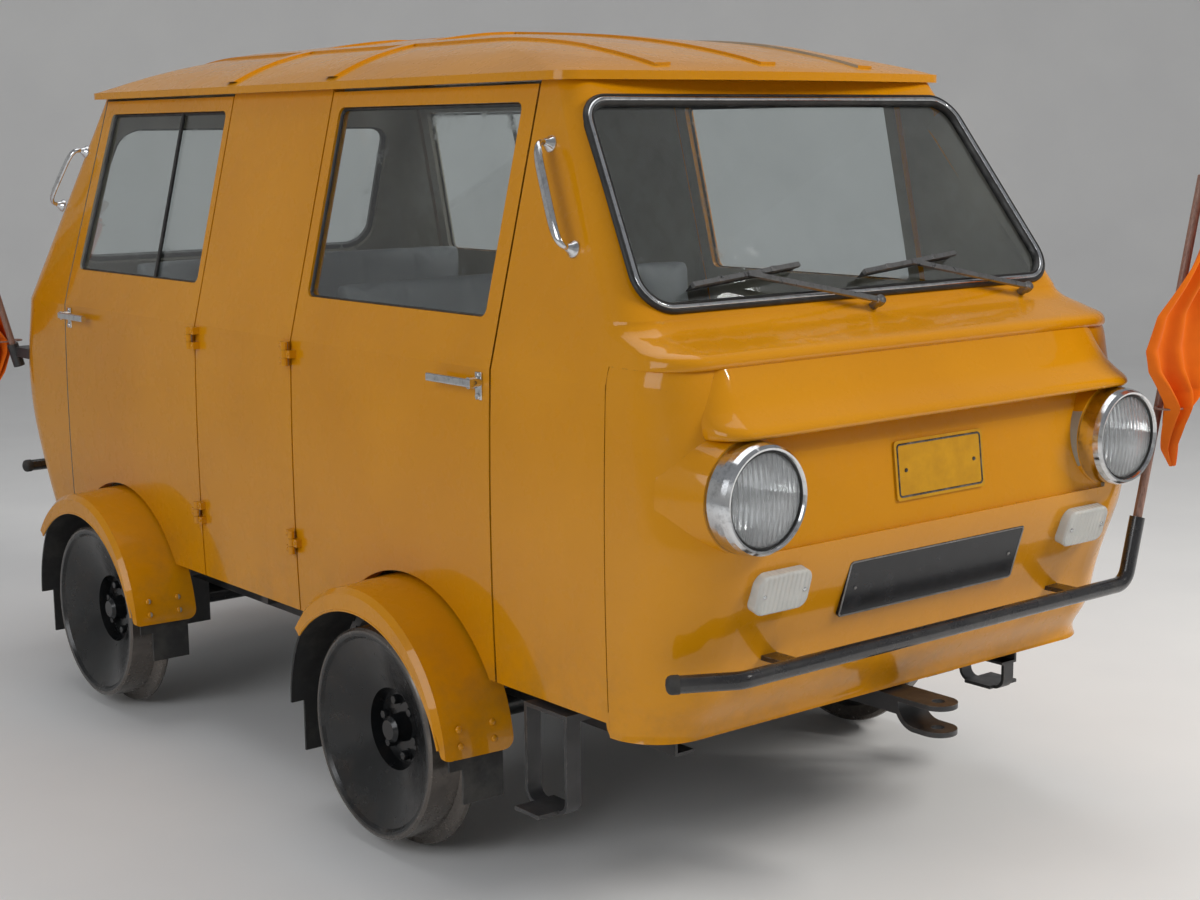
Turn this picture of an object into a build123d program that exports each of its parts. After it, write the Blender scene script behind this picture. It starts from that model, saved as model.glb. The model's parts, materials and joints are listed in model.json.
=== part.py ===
from build123d import *
import os
from math import atan2, cos, degrees, hypot, radians, sin, sqrt

# Rail draisine: a small enclosed rail inspection car on two flanged axles.
# Millimetres. +Z is up, the nose points to -Y, +X is the vehicle's left side.
# The origin is on the ground, at mid width and mid length.

os.makedirs("parts", exist_ok=True)

# Driving dimensions: running gear
MID_Y = 110.0            # middle of the centre panels, behind the middle of the overall length
WHEELBASE = 1440.0
FLANGE_R = 267.0
TREAD_R = 240.0
RIM_EDGE_R = 230.0
WHEEL_BACK_X = 680.0     # back face of the wheel, half the back-to-back distance
WHEEL_WIDTH = 105.0
AXLE_R = 32.0
HUB_R = 72.0
DISH_DEPTH = 57.0        # how far the hub well lies inboard of the rim's outer face
WELL_R = 93.0
WELL_DEPTH = 28.0
DISC_T = 14.0

# Driving dimensions: body
WALL = 30.0
BELT_Z = 1094.0          # where the sides start to lean in
SILL_Z = 438.0
SIDE_MAX_X = 686.0
SIDE_MAX_Z = 760.0
SIDE_R = 7970.0          # very slight barrel of the lower sides
EAVE_Z = 1672.0
EAVE_X = 538.0
LEDGE_Z = 1133.0         # crease below the cowl's overhang
LIP_LOW_Z = 1010.0       # underside of the brow over the lamps
PANEL_LOW_Z = 790.0      # lower edge of the recessed lamp panel
PANEL_LOW_Y = 1664.0     # plane of the lamp panel at that edge and at the brow
PANEL_TOP_Y = 1638.0
PANEL_HALF_X = 520.0
NOSE_LOW_Z = 410.0
SEAM_Y = 1420.0          # side joint of the nose, ahead of the centre panel
DOOR_END_Y = 1046.0      # free edge of every door, from the centre panel's middle
CENTRE_HALF_Y = 240.5    # half length of the centre panel
DOOR_GAP = 6.0
DOOR_TOP_GAP = 6.0
ARCH_GAP = 8.0
DOOR_EDGE_SETBACK = 12.0 # inner face of the free edge stands back, so the door swings clear
NOSE_T = 26.0            # wall of the nose
SEAM_GAP = 3.0           # open joint between the nose and the panel behind it

# Driving dimensions: windows
WS_LOW_Z = 1224.0
WS_TOP_Z = 1640.0
WS_LOW_Y = 1452.0        # skin of the windscreen plane ahead of the centre, at WS_LOW_Z
WS_TOP_Y = 1174.0
WS_LOW_X = 618.0
WS_TOP_X = 547.0
WS_CORNER_R = 78.0
SEAL_PROUD = 10.0
SEAL_WIDTH = 25.0
GLASS_T = 6.0
SIDE_GLASS_INSET = 12.0
SIDE_GLASS_T = 5.0
WINDOW_LOW_Z = 1196.0
WINDOW_TOP_Z = 1630.0
WINDOW_R = 18.0
GLASS_LAP = 8.0

# Driving dimensions: mudguards and flaps
EPS = 0.3                # running or seating clearance of pieces that rest on each other
FLOOR_X = 643.0          # half width of the floor and of the wheelhouse walls
GUARD_IN_X = FLOOR_X + EPS
GUARD_R = 341.0
GUARD_TAPER = 10.0
GUARD_OUT_X = 824.0
GUARD_ROUND = 12.0
GUARD_T = 4.0
GUARD_LIP = 28.0         # depth of the inner edge's lip
GUARD_SKIRT_R = 240.0    # the outer skirt reaches in to here before the opening is cut
GUARD_LOW_Z = 292.0
GUARD_CORNER_R = 25.0
GUARD_REAR_DEG = 38.0    # rear end of each mudguard, above the horizontal
GUARD_OPEN_R = 335.0
GUARD_OPEN_Z = 213.0
FLAP_T = 6.0
FLAP_GAP = 0.3
FRONT_FLAP_LOW_Z = 190.0
REAR_FLAP_LOW_Z = 145.0
FLAP_IN_X = 664.0
FLAP_OUT_X = 800.0
FLAP_HANG_X = 766.0

AXLE_Z = FLANGE_R
AXLE_Y = {"front": MID_Y - WHEELBASE / 2, "rear": MID_Y + WHEELBASE / 2}


def write(name, *solids):
    kids = list(solids)
    shape = kids[0] if len(kids) == 1 else Compound(children=kids)
    shape.label = name
    export_step(shape, f"parts/{name}.step")


def box(x0, x1, y0, y1, z0, z1):
    return Pos((x0 + x1) / 2, (y0 + y1) / 2, (z0 + z1) / 2) * Box(x1 - x0, y1 - y0, z1 - z0)


def largest(shape):
    return shape.solids().sort_by(SortBy.VOLUME)[-1]


def side_x(z, inset=0.0):
    """Half width of the body at a height, or of its inner face."""
    if z <= BELT_Z:
        return SIDE_MAX_X - SIDE_R + sqrt(SIDE_R**2 - (z - SIDE_MAX_Z) ** 2) - inset
    lean = (side_x(BELT_Z) - EAVE_X) / (EAVE_Z - BELT_Z)
    return side_x(BELT_Z) - (z - BELT_Z) * lean - inset * sqrt(1 + lean**2)


def side_block(side, y0, y1, z0, z1, inset=0.0):
    """Everything inboard of the side's skin between two lengths and two heights."""
    low = (side_x(z0, inset), z0)
    mid = (side_x((z0 + BELT_Z) / 2, inset), (z0 + BELT_Z) / 2)
    belt = (side_x(BELT_Z, inset), BELT_Z)
    top = (side_x(z1, inset), z1)
    with BuildPart() as part:
        with BuildSketch(Plane.XZ.offset(-y0)):
            with BuildLine():
                Polyline((0, z1), (0, z0), low)
                if z0 < BELT_Z:
                    ThreePointArc(low, mid, belt)
                    Line(belt, top)
                else:
                    Line(low, top)
                Line(top, (0, z1))
            make_face()
        extrude(amount=-(y1 - y0))
    solid = part.part
    if side < 0:
        solid = solid.mirror(Plane.YZ)
    return solid


def side_wall(side, y0, y1, z0, z1, t=WALL, inset=0.0):
    """A strip of body side as thick as the whole wall."""
    cut = side_block(side, y0 - 1, y1 + 1, z0 - 1, z1 + 1, inset + t)
    return side_block(side, y0, y1, z0, z1, inset) - cut


def plan_face(z, half_x, y_end, y_back, r, bow=0.0):
    """Horizontal section of a body end: straight back edge, rounded corners at y_end."""
    s = 1 if y_end > y_back else -1
    with BuildSketch(Plane.XY.offset(z)) as sk:
        with BuildLine():
            a = (-half_x, y_end - s * r)
            b = (-half_x + r, y_end)
            c = (half_x - r, y_end)
            d = (half_x, y_end - s * r)
            k = r * (1 - 1 / sqrt(2))
            Line((-half_x, y_back), a)
            ThreePointArc(a, (-half_x + k, y_end - s * k), b)
            if bow:
                ThreePointArc(b, (0, y_end + s * bow), c)
            else:
                Line(b, c)
            ThreePointArc(c, (half_x - k, y_end - s * k), d)
            Line(d, (half_x, y_back))
            Line((half_x, y_back), (-half_x, y_back))
        make_face()
    return sk.sketch.faces()[0]


# Nose: height, reach ahead of the centre panel's middle, corner radius
NOSE = [
    (NOSE_LOW_Z, 1545, 118),
    (480, 1577, 145),
    (570, 1606, 150),
    (680, 1641, 150),
    (PANEL_LOW_Z, 1673, 150),
    (880, 1662, 147),
    (970, 1642, 136),
    (1040, 1617, 122),
    (1090, 1601, 109),
    (LEDGE_Z, 1590, 98),
]
# Brow over the lamps: height, half width, reach, corner radius
BROW = [
    (LIP_LOW_Z, 604, 1687, 66),
    (1018, 606, 1694, 66),
    (1026, 606, 1691, 66),
    (1036, 605, 1679, 66),
    (1048, 603, 1660, 64),
    (1062, 600, 1642, 62),
    (1077, 597, 1629, 60),
    (1091, 594, 1619, 58),
    (1105, 590, 1611, 56),
    (1119, 585, 1604, 53),
    (LEDGE_Z, 580, 1597, 50),
]
# Cowl, with its overhanging edge, and windscreen surround
COWL = [
    (LEDGE_Z, 1597, 99),
    (1146, 1601, 100),
    (1156, 1594, 98),
    (1164, 1574, 95),
    (1173, 1543, 91),
    (1183, 1508, 86),
    (1195, 1477, 81),
    (1206, 1463, 78),
    (1215, 1458, 75),
]
SCREEN = [(1215, 1458, 75), (EAVE_Z, 1152.6, 50)]
# Tail: height, reach behind the centre panel's middle, corner radius
TAIL_LOW = [
    (SILL_Z, 1258, 115),
    (500, 1300, 130),
    (620, 1370, 145),
    (780, 1432, 150),
    (940, 1440, 150),
    (BELT_Z, 1410, 145),
]
TAIL_HIGH = [(BELT_Z, 1410, 145), (EAVE_Z, 1052, 60)]
TAIL_CUT_Y = 1052.0
TAIL_BACK_Y = 960.0


def end_loft(rows, way, back, inset=0.0, smooth=True):
    """Body end from its table; way is -1 for the nose and +1 for the tail."""
    faces = [
        plan_face(z, side_x(z, inset), MID_Y + way * (y - inset), MID_Y + way * back, r - inset)
        for z, y, r in rows
    ]
    return loft(faces, ruled=not smooth)


def screen_plane(way, low_y, low_z, top_y, top_z):
    run, rise = low_y - top_y, top_z - low_z
    length = hypot(run, rise)
    normal = (0, way * rise / length, run / length)
    return Plane(
        origin=(0, MID_Y + way * low_y, low_z),
        x_dir=(-way, 0, 0),
        z_dir=normal,
    ), length


def trapezoid(low_x, top_x, height, r, inset=0.0):
    """Rounded window outline on its own plane, drawn from the lower edge up."""
    slope = hypot(low_x - top_x, height) / height
    lean = (low_x - top_x) / height
    lo = low_x - inset * slope
    with BuildSketch() as sk:
        with BuildLine():
            y0, y1 = inset, height - inset
            x0 = lo - lean * y0
            x1 = lo - lean * y1
            Polyline((-x0, y0), (x0, y0), (x1, y1), (-x1, y1), close=True)
        make_face()
        fillet(sk.vertices(), max(r - inset, 12))
    return sk.sketch


def screen_slab(plane, height, low_x, top_x, r, inset, n0, n1):
    """Slab of a window outline between two distances from the skin."""
    face = plane * (Pos(0, 0, n0) * trapezoid(low_x, top_x, height, r, inset))
    return extrude(face, amount=n1 - n0, dir=plane.z_dir)


# Wheelsets


def wheelset(name):
    out_x = WHEEL_BACK_X + WHEEL_WIDTH
    well_x = out_x - DISH_DEPTH
    floor_x = well_x - WELL_DEPTH
    pts = [
        (0, 0), (floor_x + 42, 0), (floor_x + 42, 22), (floor_x + 34, 30), (floor_x, 34),
        (floor_x, WELL_R - 6), (well_x, WELL_R), (out_x - 8, 212), (out_x, 218),
        (out_x, RIM_EDGE_R), (out_x - 4, TREAD_R - 4), (WHEEL_BACK_X + 32, TREAD_R),
        (WHEEL_BACK_X + 25, TREAD_R + 8), (WHEEL_BACK_X + 19, FLANGE_R - 4),
        (WHEEL_BACK_X + 13, FLANGE_R), (WHEEL_BACK_X + 6, FLANGE_R - 2),
        (WHEEL_BACK_X, FLANGE_R - 12), (WHEEL_BACK_X, 208), (out_x - 28, 204),
        (well_x - DISC_T, WELL_R + 12), (floor_x - DISC_T + 2, WELL_R + 6),
        (floor_x - DISC_T - 2, HUB_R + 8), (WHEEL_BACK_X - 44, HUB_R), (WHEEL_BACK_X - 44, AXLE_R + 6),
        (WHEEL_BACK_X - 54, AXLE_R), (0, AXLE_R),
    ]
    with BuildPart() as part:
        with BuildSketch(Plane.XY):
            with BuildLine():
                Polyline(*pts, close=True)
            make_face()
        revolve(axis=Axis.X)
    half = part.part
    both = half + half.mirror(Plane.YZ)
    write(name, Pos(0, AXLE_Y[name.split("_")[1]], AXLE_Z) * both)


# Chassis

RAIL_X = 500.0
RAIL_W = 50.0
RAIL_H = 90.0
RAIL_T = 6.0
FLOOR_Z = 440.0
FLOOR_T = 8.0
RAIL_TOP = FLOOR_Z - FLOOR_T
FLOOR_FRONT_Y = 1300.0   # full width of the floor reaches this far ahead of the middle
FLOOR_REAR_Y = 1100.0
FLOOR_NOSE = (215.0, 90.0)   # how far the floor goes on inside the nose, and its corner radius
FLOOR_TAIL = (115.0, 80.0)
WHEELHOUSE_T = 3.0
RAIL_FRONT = MID_Y - 1440.0
RAIL_REAR = MID_Y + 1190.0
CROSS_Y = [-1400.0, -980.0, -420.0, 0.0, 420.0, 980.0, 1160.0]
CROSS_W = 40.0
CROSS_H = 70.0
ARM_W = 30.0             # outriggers from the rails to the floor's edge
ARM_H = 30.0


def channel(side):
    """Rail of the frame, open toward the middle."""
    in_x, out_x = side * (RAIL_X - RAIL_W / 2), side * (RAIL_X + RAIL_W / 2)
    low_z = RAIL_TOP - RAIL_H
    outer = box(*sorted((in_x, out_x)), RAIL_FRONT, RAIL_REAR, low_z, RAIL_TOP)
    hollow_x = sorted((in_x, out_x - side * RAIL_T))
    return outer - box(*hollow_x, RAIL_FRONT - 1, RAIL_REAR + 1, low_z + RAIL_T, RAIL_TOP - RAIL_T)


def chassis():
    frame = channel(-1) + channel(1)
    for y in CROSS_Y:
        y0, y1 = MID_Y + y - CROSS_W / 2, MID_Y + y + CROSS_W / 2
        frame += box(-RAIL_X, RAIL_X, y0, y1, RAIL_TOP - CROSS_H, RAIL_TOP - RAIL_T)
    for side in (-1, 1):
        for y in CROSS_Y[1:6]:
            y0, y1 = MID_Y + y - ARM_W / 2, MID_Y + y + ARM_W / 2
            frame += box(*sorted((side * RAIL_X, side * FLOOR_X)), y0, y1, RAIL_TOP - ARM_H, RAIL_TOP)
    write("chassis_frame", frame)


def floor_pan():
    y0, y1 = MID_Y - FLOOR_FRONT_Y, MID_Y + FLOOR_REAR_Y
    pan = box(-FLOOR_X, FLOOR_X, y0, y1, FLOOR_Z - FLOOR_T, FLOOR_Z)
    for back, (length, r) in ((y0, FLOOR_NOSE), (y1, FLOOR_TAIL)):
        way = 1 if back > MID_Y else -1
        end = plan_face(FLOOR_Z - FLOOR_T, FLOOR_X, back + way * length, back - way * 10, r)
        pan += extrude(end, amount=FLOOR_T)
    for y in AXLE_Y.values():
        for side in (-1, 1):
            disc = Cylinder(GUARD_R - GUARD_T, WHEELHOUSE_T)
            disc = Pos(side * (FLOOR_X - WHEELHOUSE_T / 2), y, AXLE_Z) * Rot(0, 90, 0) * disc
            pan += disc & box(-FLOOR_X, FLOOR_X, y - GUARD_R, y + GUARD_R, FLOOR_Z - 1, FLOOR_Z + GUARD_R)
    write("floor_pan", pan)


BOX_W = 120.0
BOX_X = 76.0
BOX_Z0 = 200.0


def axle_boxes():
    solids = []
    for end, y in AXLE_Y.items():
        for side in (-1, 1):
            block = box(
                side * RAIL_X - BOX_X / 2, side * RAIL_X + BOX_X / 2, y - BOX_W / 2, y + BOX_W / 2,
                BOX_Z0, RAIL_TOP - RAIL_H,
            )
            bore = Pos(side * RAIL_X, y, AXLE_Z) * Rot(0, 90, 0) * Cylinder(AXLE_R + EPS, BOX_X + 2)
            solids.append(block - bore)
    write("axle_boxes", *solids)


# Body panels

FOOT_X = (600.0, 652.0)
FOOT_T = 6.0
HEADER_Y = (1130.0, 1110.0)
HEADER_H = 24.0
WINDOW_REBATE = 10.0     # the opening in the skin is this much smaller than the seal


def floor_foot(side, y0, y1):
    """Flange at the foot of a side wall, lying on the floor."""
    x0, x1 = sorted(side * x for x in FOOT_X)
    return box(x0, x1, y0, y1, FLOOR_Z, FLOOR_Z + FOOT_T)


def front_frame():
    back = DOOR_END_Y + DOOR_GAP
    solid = end_loft(COWL, -1, back) + end_loft(SCREEN, -1, back, smooth=False)
    under = [(LEDGE_Z - 1, *COWL[0][1:])] + [(z - COWL_DROP, y, r) for z, y, r in COWL[3:]]
    cut = end_loft(under, -1, back - 5, WALL)
    top = SCREEN[0][0] - COWL_DROP
    cut += end_loft([(top, *SCREEN[0][1:]), (EAVE_Z + 1, *SCREEN[1][1:])], -1, back - 5, WALL, smooth=False)
    solid -= cut
    for side in (-1, 1):
        solid += side_wall(side, MID_Y - SEAM_Y, MID_Y - back, SILL_Z, LEDGE_Z)
        solid += floor_foot(side, MID_Y - SEAM_Y + 20, MID_Y - back - 20)
    half_x, (y0, y1) = EAVE_X - WALL, HEADER_Y
    solid += box(-half_x, half_x, MID_Y - y0, MID_Y - y1, EAVE_Z - HEADER_H, EAVE_Z)
    solid -= screen_slab(*SCREEN_ARGS, WS_CORNER_R, WINDOW_REBATE, -80, 40)
    write("front_frame", solid)


def panel_y(z):
    """Reach of the recessed lamp panel at a height."""
    return PANEL_LOW_Y + (PANEL_TOP_Y - PANEL_LOW_Y) * (z - PANEL_LOW_Z) / (LIP_LOW_Z - PANEL_LOW_Z)


def panel_recess():
    """Space in front of the flat lamp panel, under the brow."""
    ahead = BROW[1][2] + 40
    with BuildPart() as part:
        with BuildSketch(Plane.YZ.offset(-PANEL_HALF_X)):
            with BuildLine():
                corners = [(PANEL_LOW_Y, PANEL_LOW_Z), (PANEL_TOP_Y, LIP_LOW_Z)]
                corners += [(ahead, LIP_LOW_Z), (ahead, PANEL_LOW_Z)]
                Polyline(*[(MID_Y - y, z) for y, z in corners], close=True)
            make_face()
        extrude(amount=2 * PANEL_HALF_X)
    return part.part


def lamp_pod(side):
    """Raised ring of the nose around a headlamp."""
    root, tip = POD_Y
    cone = Cone(POD_ROOT_R, POD_TIP_R, tip - root, align=(Align.CENTER, Align.CENTER, Align.MIN))
    return facing(side * LAMP_X, MID_Y - root, LAMP_Z) * cone


def nose_shell():
    seam = SEAM_Y + SEAM_GAP
    solid = end_loft(NOSE, -1, seam)
    brow = loft([plan_face(z, x, MID_Y - y, MID_Y - BROW_BACK_Y, r) for z, x, y, r in BROW])
    solid += brow
    solid -= panel_recess()
    notch = Cylinder(SILL_Z - NOSE_LOW_Z + 2, 2 * SIDE_MAX_X + 20)
    solid -= Pos(0, MID_Y - seam + 1, NOSE_LOW_Z - 1) * Rot(0, 90, 0) * notch
    for side in (-1, 1):
        solid += lamp_pod(side)
    inner = [(NOSE_LOW_Z - 1, *NOSE[0][1:])] + NOSE[1:-1] + [(LEDGE_Z + 1, *NOSE[-1][1:])]
    solid -= end_loft(inner, -1, seam - 5, NOSE_T)
    for side in (-1, 1):
        solid -= facing(side * LAMP_X, MID_Y - 1600, LAMP_Z) * Cylinder(LAMP_R + EPS, 300)
    write("nose_shell", solid)


def centre_panels():
    solids = []
    for side in (-1, 1):
        panel = side_wall(side, MID_Y - CENTRE_HALF_Y, MID_Y + CENTRE_HALF_Y, SILL_Z, EAVE_Z)
        panel += floor_foot(side, MID_Y - 200, MID_Y + 200)
        for end in (-1, 1):
            for z in HINGE_Z:
                for dz in (-HINGE_STEP, HINGE_STEP):
                    panel += knuckle(side, end, z + dz, -end)
                panel += hinge_pin(side, end, z)
        solids.append(panel)
    write("centre_panels", *solids)


HINGE_X = 697.0
HINGE_R = 9.0
PIN_R = 4.5
HINGE_Z = (608.0, 1061.0)
HINGE_STEP = 19.0
KNUCKLE_L = 18.0
HINGE_Y = CENTRE_HALF_Y + DOOR_GAP / 2
LEAF_L = 26.0


def knuckle(side, end, z, toward):
    """Hinge knuckle with its leaf; toward is the way along Y in which the leaf runs."""
    y = MID_Y + end * HINGE_Y
    x = side * HINGE_X
    barrel = Pos(x, y, z) * Cylinder(HINGE_R, KNUCKLE_L)
    x0, x1 = sorted((side * (side_x(z) - 6), side * (HINGE_X + 2)))
    y0, y1 = sorted((y + toward * (DOOR_GAP / 2 + 0.5), y + toward * LEAF_L))
    y2, y3 = sorted((y, y + toward * LEAF_L))
    z0, z1 = z - KNUCKLE_L / 2, z + KNUCKLE_L / 2
    web = box(*sorted((side * (side_x(z) + 2.5), side * (HINGE_X + 2))), y2, y3, z0, z1)
    leaf = box(x0, x1, y0, y1, z0, z1)
    return barrel + web + leaf


def hinge_pin(side, end, z):
    length = 2 * HINGE_STEP + KNUCKLE_L
    return Pos(side * HINGE_X, MID_Y + end * HINGE_Y, z) * Cylinder(PIN_R, length)


REAR_EDGE_LOW_Z = 1150.0
REAR_EDGE_TOP_Y = 992.0


def rear_edge_prism(y_gap, deep):
    """Space behind the rear door's rear edge, from the door's own edge plus a gap."""
    lean = (DOOR_END_Y - REAR_EDGE_TOP_Y) / (EAVE_Z - REAR_EDGE_LOW_Z)
    top = DOOR_END_Y - (EAVE_Z + 5 - REAR_EDGE_LOW_Z) * lean
    with BuildPart() as part:
        with BuildSketch(Plane.YZ.offset(-750)):
            with BuildLine():
                y = MID_Y + y_gap
                Polyline(
                    (y + DOOR_END_Y, SILL_Z - 40), (y + DOOR_END_Y, REAR_EDGE_LOW_Z), (y + top, EAVE_Z + 5),
                    (y + DOOR_END_Y + deep, EAVE_Z + 5), (y + DOOR_END_Y + deep, SILL_Z - 40), close=True,
                )
            make_face()
        extrude(amount=1500)
    return part.part


def rear_shell():
    back = TAIL_BACK_Y
    solid = end_loft(TAIL_LOW, 1, back) + end_loft(TAIL_HIGH, 1, back, smooth=False)
    low = [(SILL_Z - 1, 1258, 115)] + TAIL_LOW[1:]
    high = [TAIL_HIGH[0], (EAVE_Z + 1, 1051.5, 60)]
    solid -= end_loft(low, 1, back - 5, WALL) + end_loft(high, 1, back - 5, WALL, smooth=False)
    solid = solid & rear_edge_prism(DOOR_GAP, 600)
    foot_y = MID_Y + DOOR_END_Y + 24
    for side in (-1, 1):
        solid += floor_foot(side, foot_y, foot_y + 40)
    solid -= screen_slab(*REAR_ARGS, REAR_CORNER_R, WINDOW_REBATE, -80, 40)
    write("rear_shell", solid)


# Roof: height, inset of the sides, of the front and of the rear, corner radius
ROOF = [
    (1690, 3, 3, 3, 60),
    (1722, 70, 110, 100, 90),
    (1755, 160, 270, 200, 130),
    (1782, 280, 470, 330, 160),
    (1800, 400, 700, 480, 140),
    (1811, 510, 900, 700, 50),
]
ROOF_IN = [
    (EAVE_Z - 1, 66, 96, 72, 30),
    (1704, 78, 130, 120, 50),
    (1736, 168, 290, 222, 90),
    (1764, 292, 500, 350, 120),
    (1786, 430, 740, 500, 100),
]
ROOF_X = 567.0
ROOF_FRONT_Y = 1161.0
ROOF_REAR_Y = 1072.0
ROOF_BOW = 50.0
RIB_X = (-300.0, 0.0, 300.0)
RIB_Y = (-243.5, 243.5)
RIB_W = 44.0
RIB_H = 4.5


def roof_face(z, side_in, front_in, rear_in, r, grow=0.0):
    half_x = ROOF_X - side_in + grow
    y0 = MID_Y - ROOF_FRONT_Y + front_in - grow
    y1 = MID_Y + ROOF_REAR_Y - rear_in + grow
    bow = ROOF_BOW * max(0.0, 1 - front_in / 400)
    k = r * (1 - 1 / sqrt(2))
    with BuildSketch(Plane.XY.offset(z)) as sk:
        with BuildLine():
            ThreePointArc((-half_x, y0 + r), (-half_x + k, y0 + k), (-half_x + r, y0))
            ThreePointArc((-half_x + r, y0), (0, y0 - bow - 0.5), (half_x - r, y0))
            ThreePointArc((half_x - r, y0), (half_x - k, y0 + k), (half_x, y0 + r))
            Line((half_x, y0 + r), (half_x, y1 - r))
            ThreePointArc((half_x, y1 - r), (half_x - k, y1 - k), (half_x - r, y1))
            Line((half_x - r, y1), (-half_x + r, y1))
            ThreePointArc((-half_x + r, y1), (-half_x + k, y1 - k), (-half_x, y1 - r))
            Line((-half_x, y1 - r), (-half_x, y0 + r))
        make_face()
    return sk.sketch.faces()[0]


def roof_dome(grow=0.0):
    rows = [(z + grow, *rest) for z, *rest in ROOF]
    return loft([roof_face(z, a, b, c, r, grow) for z, a, b, c, r in rows])


def roof_panel():
    skirt = extrude(roof_face(EAVE_Z, 0, 0, 0, 60), amount=ROOF[0][0] - EAVE_Z)
    cavity = loft([roof_face(*row) for row in ROOF_IN])
    dome = roof_dome()
    ribs = roof_dome(RIB_H)
    bars = None
    for x in RIB_X:
        bar = box(x - RIB_W / 2, x + RIB_W / 2, MID_Y - 1150, MID_Y + 1040, EAVE_Z + 30, 1900)
        bars = bar if bars is None else bars + bar
    for y in RIB_Y:
        bars += box(-555, 555, MID_Y + y - RIB_W / 2, MID_Y + y + RIB_W / 2, EAVE_Z + 30, 1900)
    solid = skirt + dome + (ribs & bars) - cavity
    write("roof_panel", solid)


# Doors

def arch_cut(side, end, radius):
    y = AXLE_Y[end]
    return Pos(side * 690, y, AXLE_Z) * Rot(0, 90, 0) * Cylinder(radius, 200)


FRONT_WINDOW = (283.0, 1000.0)
REAR_WINDOW = (272.0, 995.0)
REAR_WINDOW_TOP = 947.0


def window_prism(side, way, grow=0.0):
    """Side window opening right through the door, from its corners along Y and Z."""
    y0, y1 = FRONT_WINDOW if way < 0 else REAR_WINDOW
    y_top = y1 if way < 0 else REAR_WINDOW_TOP
    lean = (y1 - y_top) / (WINDOW_TOP_Z - WINDOW_LOW_Z)
    with BuildPart() as part:
        with BuildSketch(Plane.YZ.offset(-760 if side < 0 else 400)) as sk:
            with BuildLine():
                z0, z1 = WINDOW_LOW_Z - grow, WINDOW_TOP_Z + grow
                far0 = y1 + grow + lean * grow
                far1 = y_top + grow - lean * grow
                pts = [(y0 - grow, z0), (far0, z0), (far1, z1), (y0 - grow, z1)]
                Polyline(*[(MID_Y + way * y, z) for y, z in pts], close=True)
            make_face()
            fillet(sk.vertices(), WINDOW_R + grow)
        extrude(amount=360)
    return part.part


def door(side, way):
    name = f"door_{'front' if way < 0 else 'rear'}_{'right' if side < 0 else 'left'}"
    end = "front" if way < 0 else "rear"
    near = CENTRE_HALF_Y + DOOR_GAP
    y0, y1 = sorted((MID_Y + way * near, MID_Y + way * DOOR_END_Y))
    panel = side_wall(side, y0, y1, SILL_Z, EAVE_Z - DOOR_TOP_GAP)
    if way > 0:
        panel -= rear_edge_prism(0, 300)
    panel -= edge_bevel(side, way)
    panel -= arch_cut(side, end, GUARD_R + ARCH_GAP)
    panel -= window_prism(side, way)
    z0, z1 = WINDOW_LOW_Z - 20, WINDOW_TOP_Z + 20
    glass = side_wall(side, y0 + 5, y1 - 5, z0, z1, SIDE_GLASS_T, SIDE_GLASS_INSET)
    glass = glass & window_prism(side, way, GLASS_LAP)
    slot = side_wall(side, y0 - 5, y1 + 5, z0 - 5, z1 + 5, SIDE_GLASS_T + 2 * EPS, SIDE_GLASS_INSET - EPS)
    panel -= slot & window_prism(side, way, GLASS_LAP + EPS)
    for z in HINGE_Z:
        panel += knuckle(side, way, z, way)
        panel -= Pos(side * HINGE_X, MID_Y + way * HINGE_Y, z) * Cylinder(PIN_R + EPS, KNUCKLE_L + 20)
    write(name, *panel.solids())
    write(name + "_glass", *glass.solids())
    write(name + "_handle", door_handle(side, way))


def edge_bevel(side, way):
    """Wedge that sets the inner face of the free edge back from the outer one."""
    lean = (DOOR_END_Y - REAR_EDGE_TOP_Y) / (EAVE_Z - REAR_EDGE_LOW_Z) if way > 0 else 0.0
    out, back = DOOR_END_Y, DOOR_EDGE_SETBACK

    def wedge(z, shift):
        x0, x1 = side_x(z), side_x(z, WALL)
        pts = [(x0, out - shift), (x1, out - back - shift), (x1 - 20, out - back * 1.6 - shift),
               (x1 - 20, out + 30), (x0, out + 30)]
        with BuildSketch(Plane.XY.offset(z)) as sk:
            with BuildLine():
                Polyline(*[(side * x, MID_Y + way * y) for x, y in pts], close=True)
            make_face()
        return sk.sketch.faces()[0]

    rows = [(SILL_Z - 1, 0.0), (BELT_Z, 0.0), (REAR_EDGE_LOW_Z, 0.0)]
    rows.append((EAVE_Z, lean * (EAVE_Z - REAR_EDGE_LOW_Z)))
    return loft([wedge(z, s) for z, s in rows], ruled=True)


HANDLE_Y = 1013.0
HANDLE_Z = 1066.0
HANDLE_L = 150.0


def door_handle(side, way):
    x = side_x(HANDLE_Z) + 0.9
    boss = Pos(side * (x + 14), MID_Y + way * HANDLE_Y, HANDLE_Z) * Rot(0, 90, 0) * Cylinder(12, 28)
    x0, x1 = sorted((side * (x + 20), side * (x + 32)))
    y0, y1 = sorted((MID_Y + way * (HANDLE_Y + 12), MID_Y + way * (HANDLE_Y - HANDLE_L)))
    lever = box(x0, x1, y0, y1, HANDLE_Z - 9, HANDLE_Z + 9)
    lever = fillet(lever.edges().filter_by(Axis.Y), 4)
    return boss + lever


# Windows of the ends

SCREEN_PLANE, SCREEN_H = screen_plane(-1, WS_LOW_Y, WS_LOW_Z, WS_TOP_Y, WS_TOP_Z)
SCREEN_ARGS = (SCREEN_PLANE, SCREEN_H, WS_LOW_X, WS_TOP_X)
REAR_LOW_Z = 1190.0
REAR_TOP_Z = 1610.0
REAR_LOW_X = 540.0
REAR_TOP_X = 470.0
REAR_CORNER_R = 90.0


def tail_y(z):
    (z0, y0, _), (z1, y1, _) = TAIL_HIGH
    return y0 + (y1 - y0) * (z - z0) / (z1 - z0)


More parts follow.
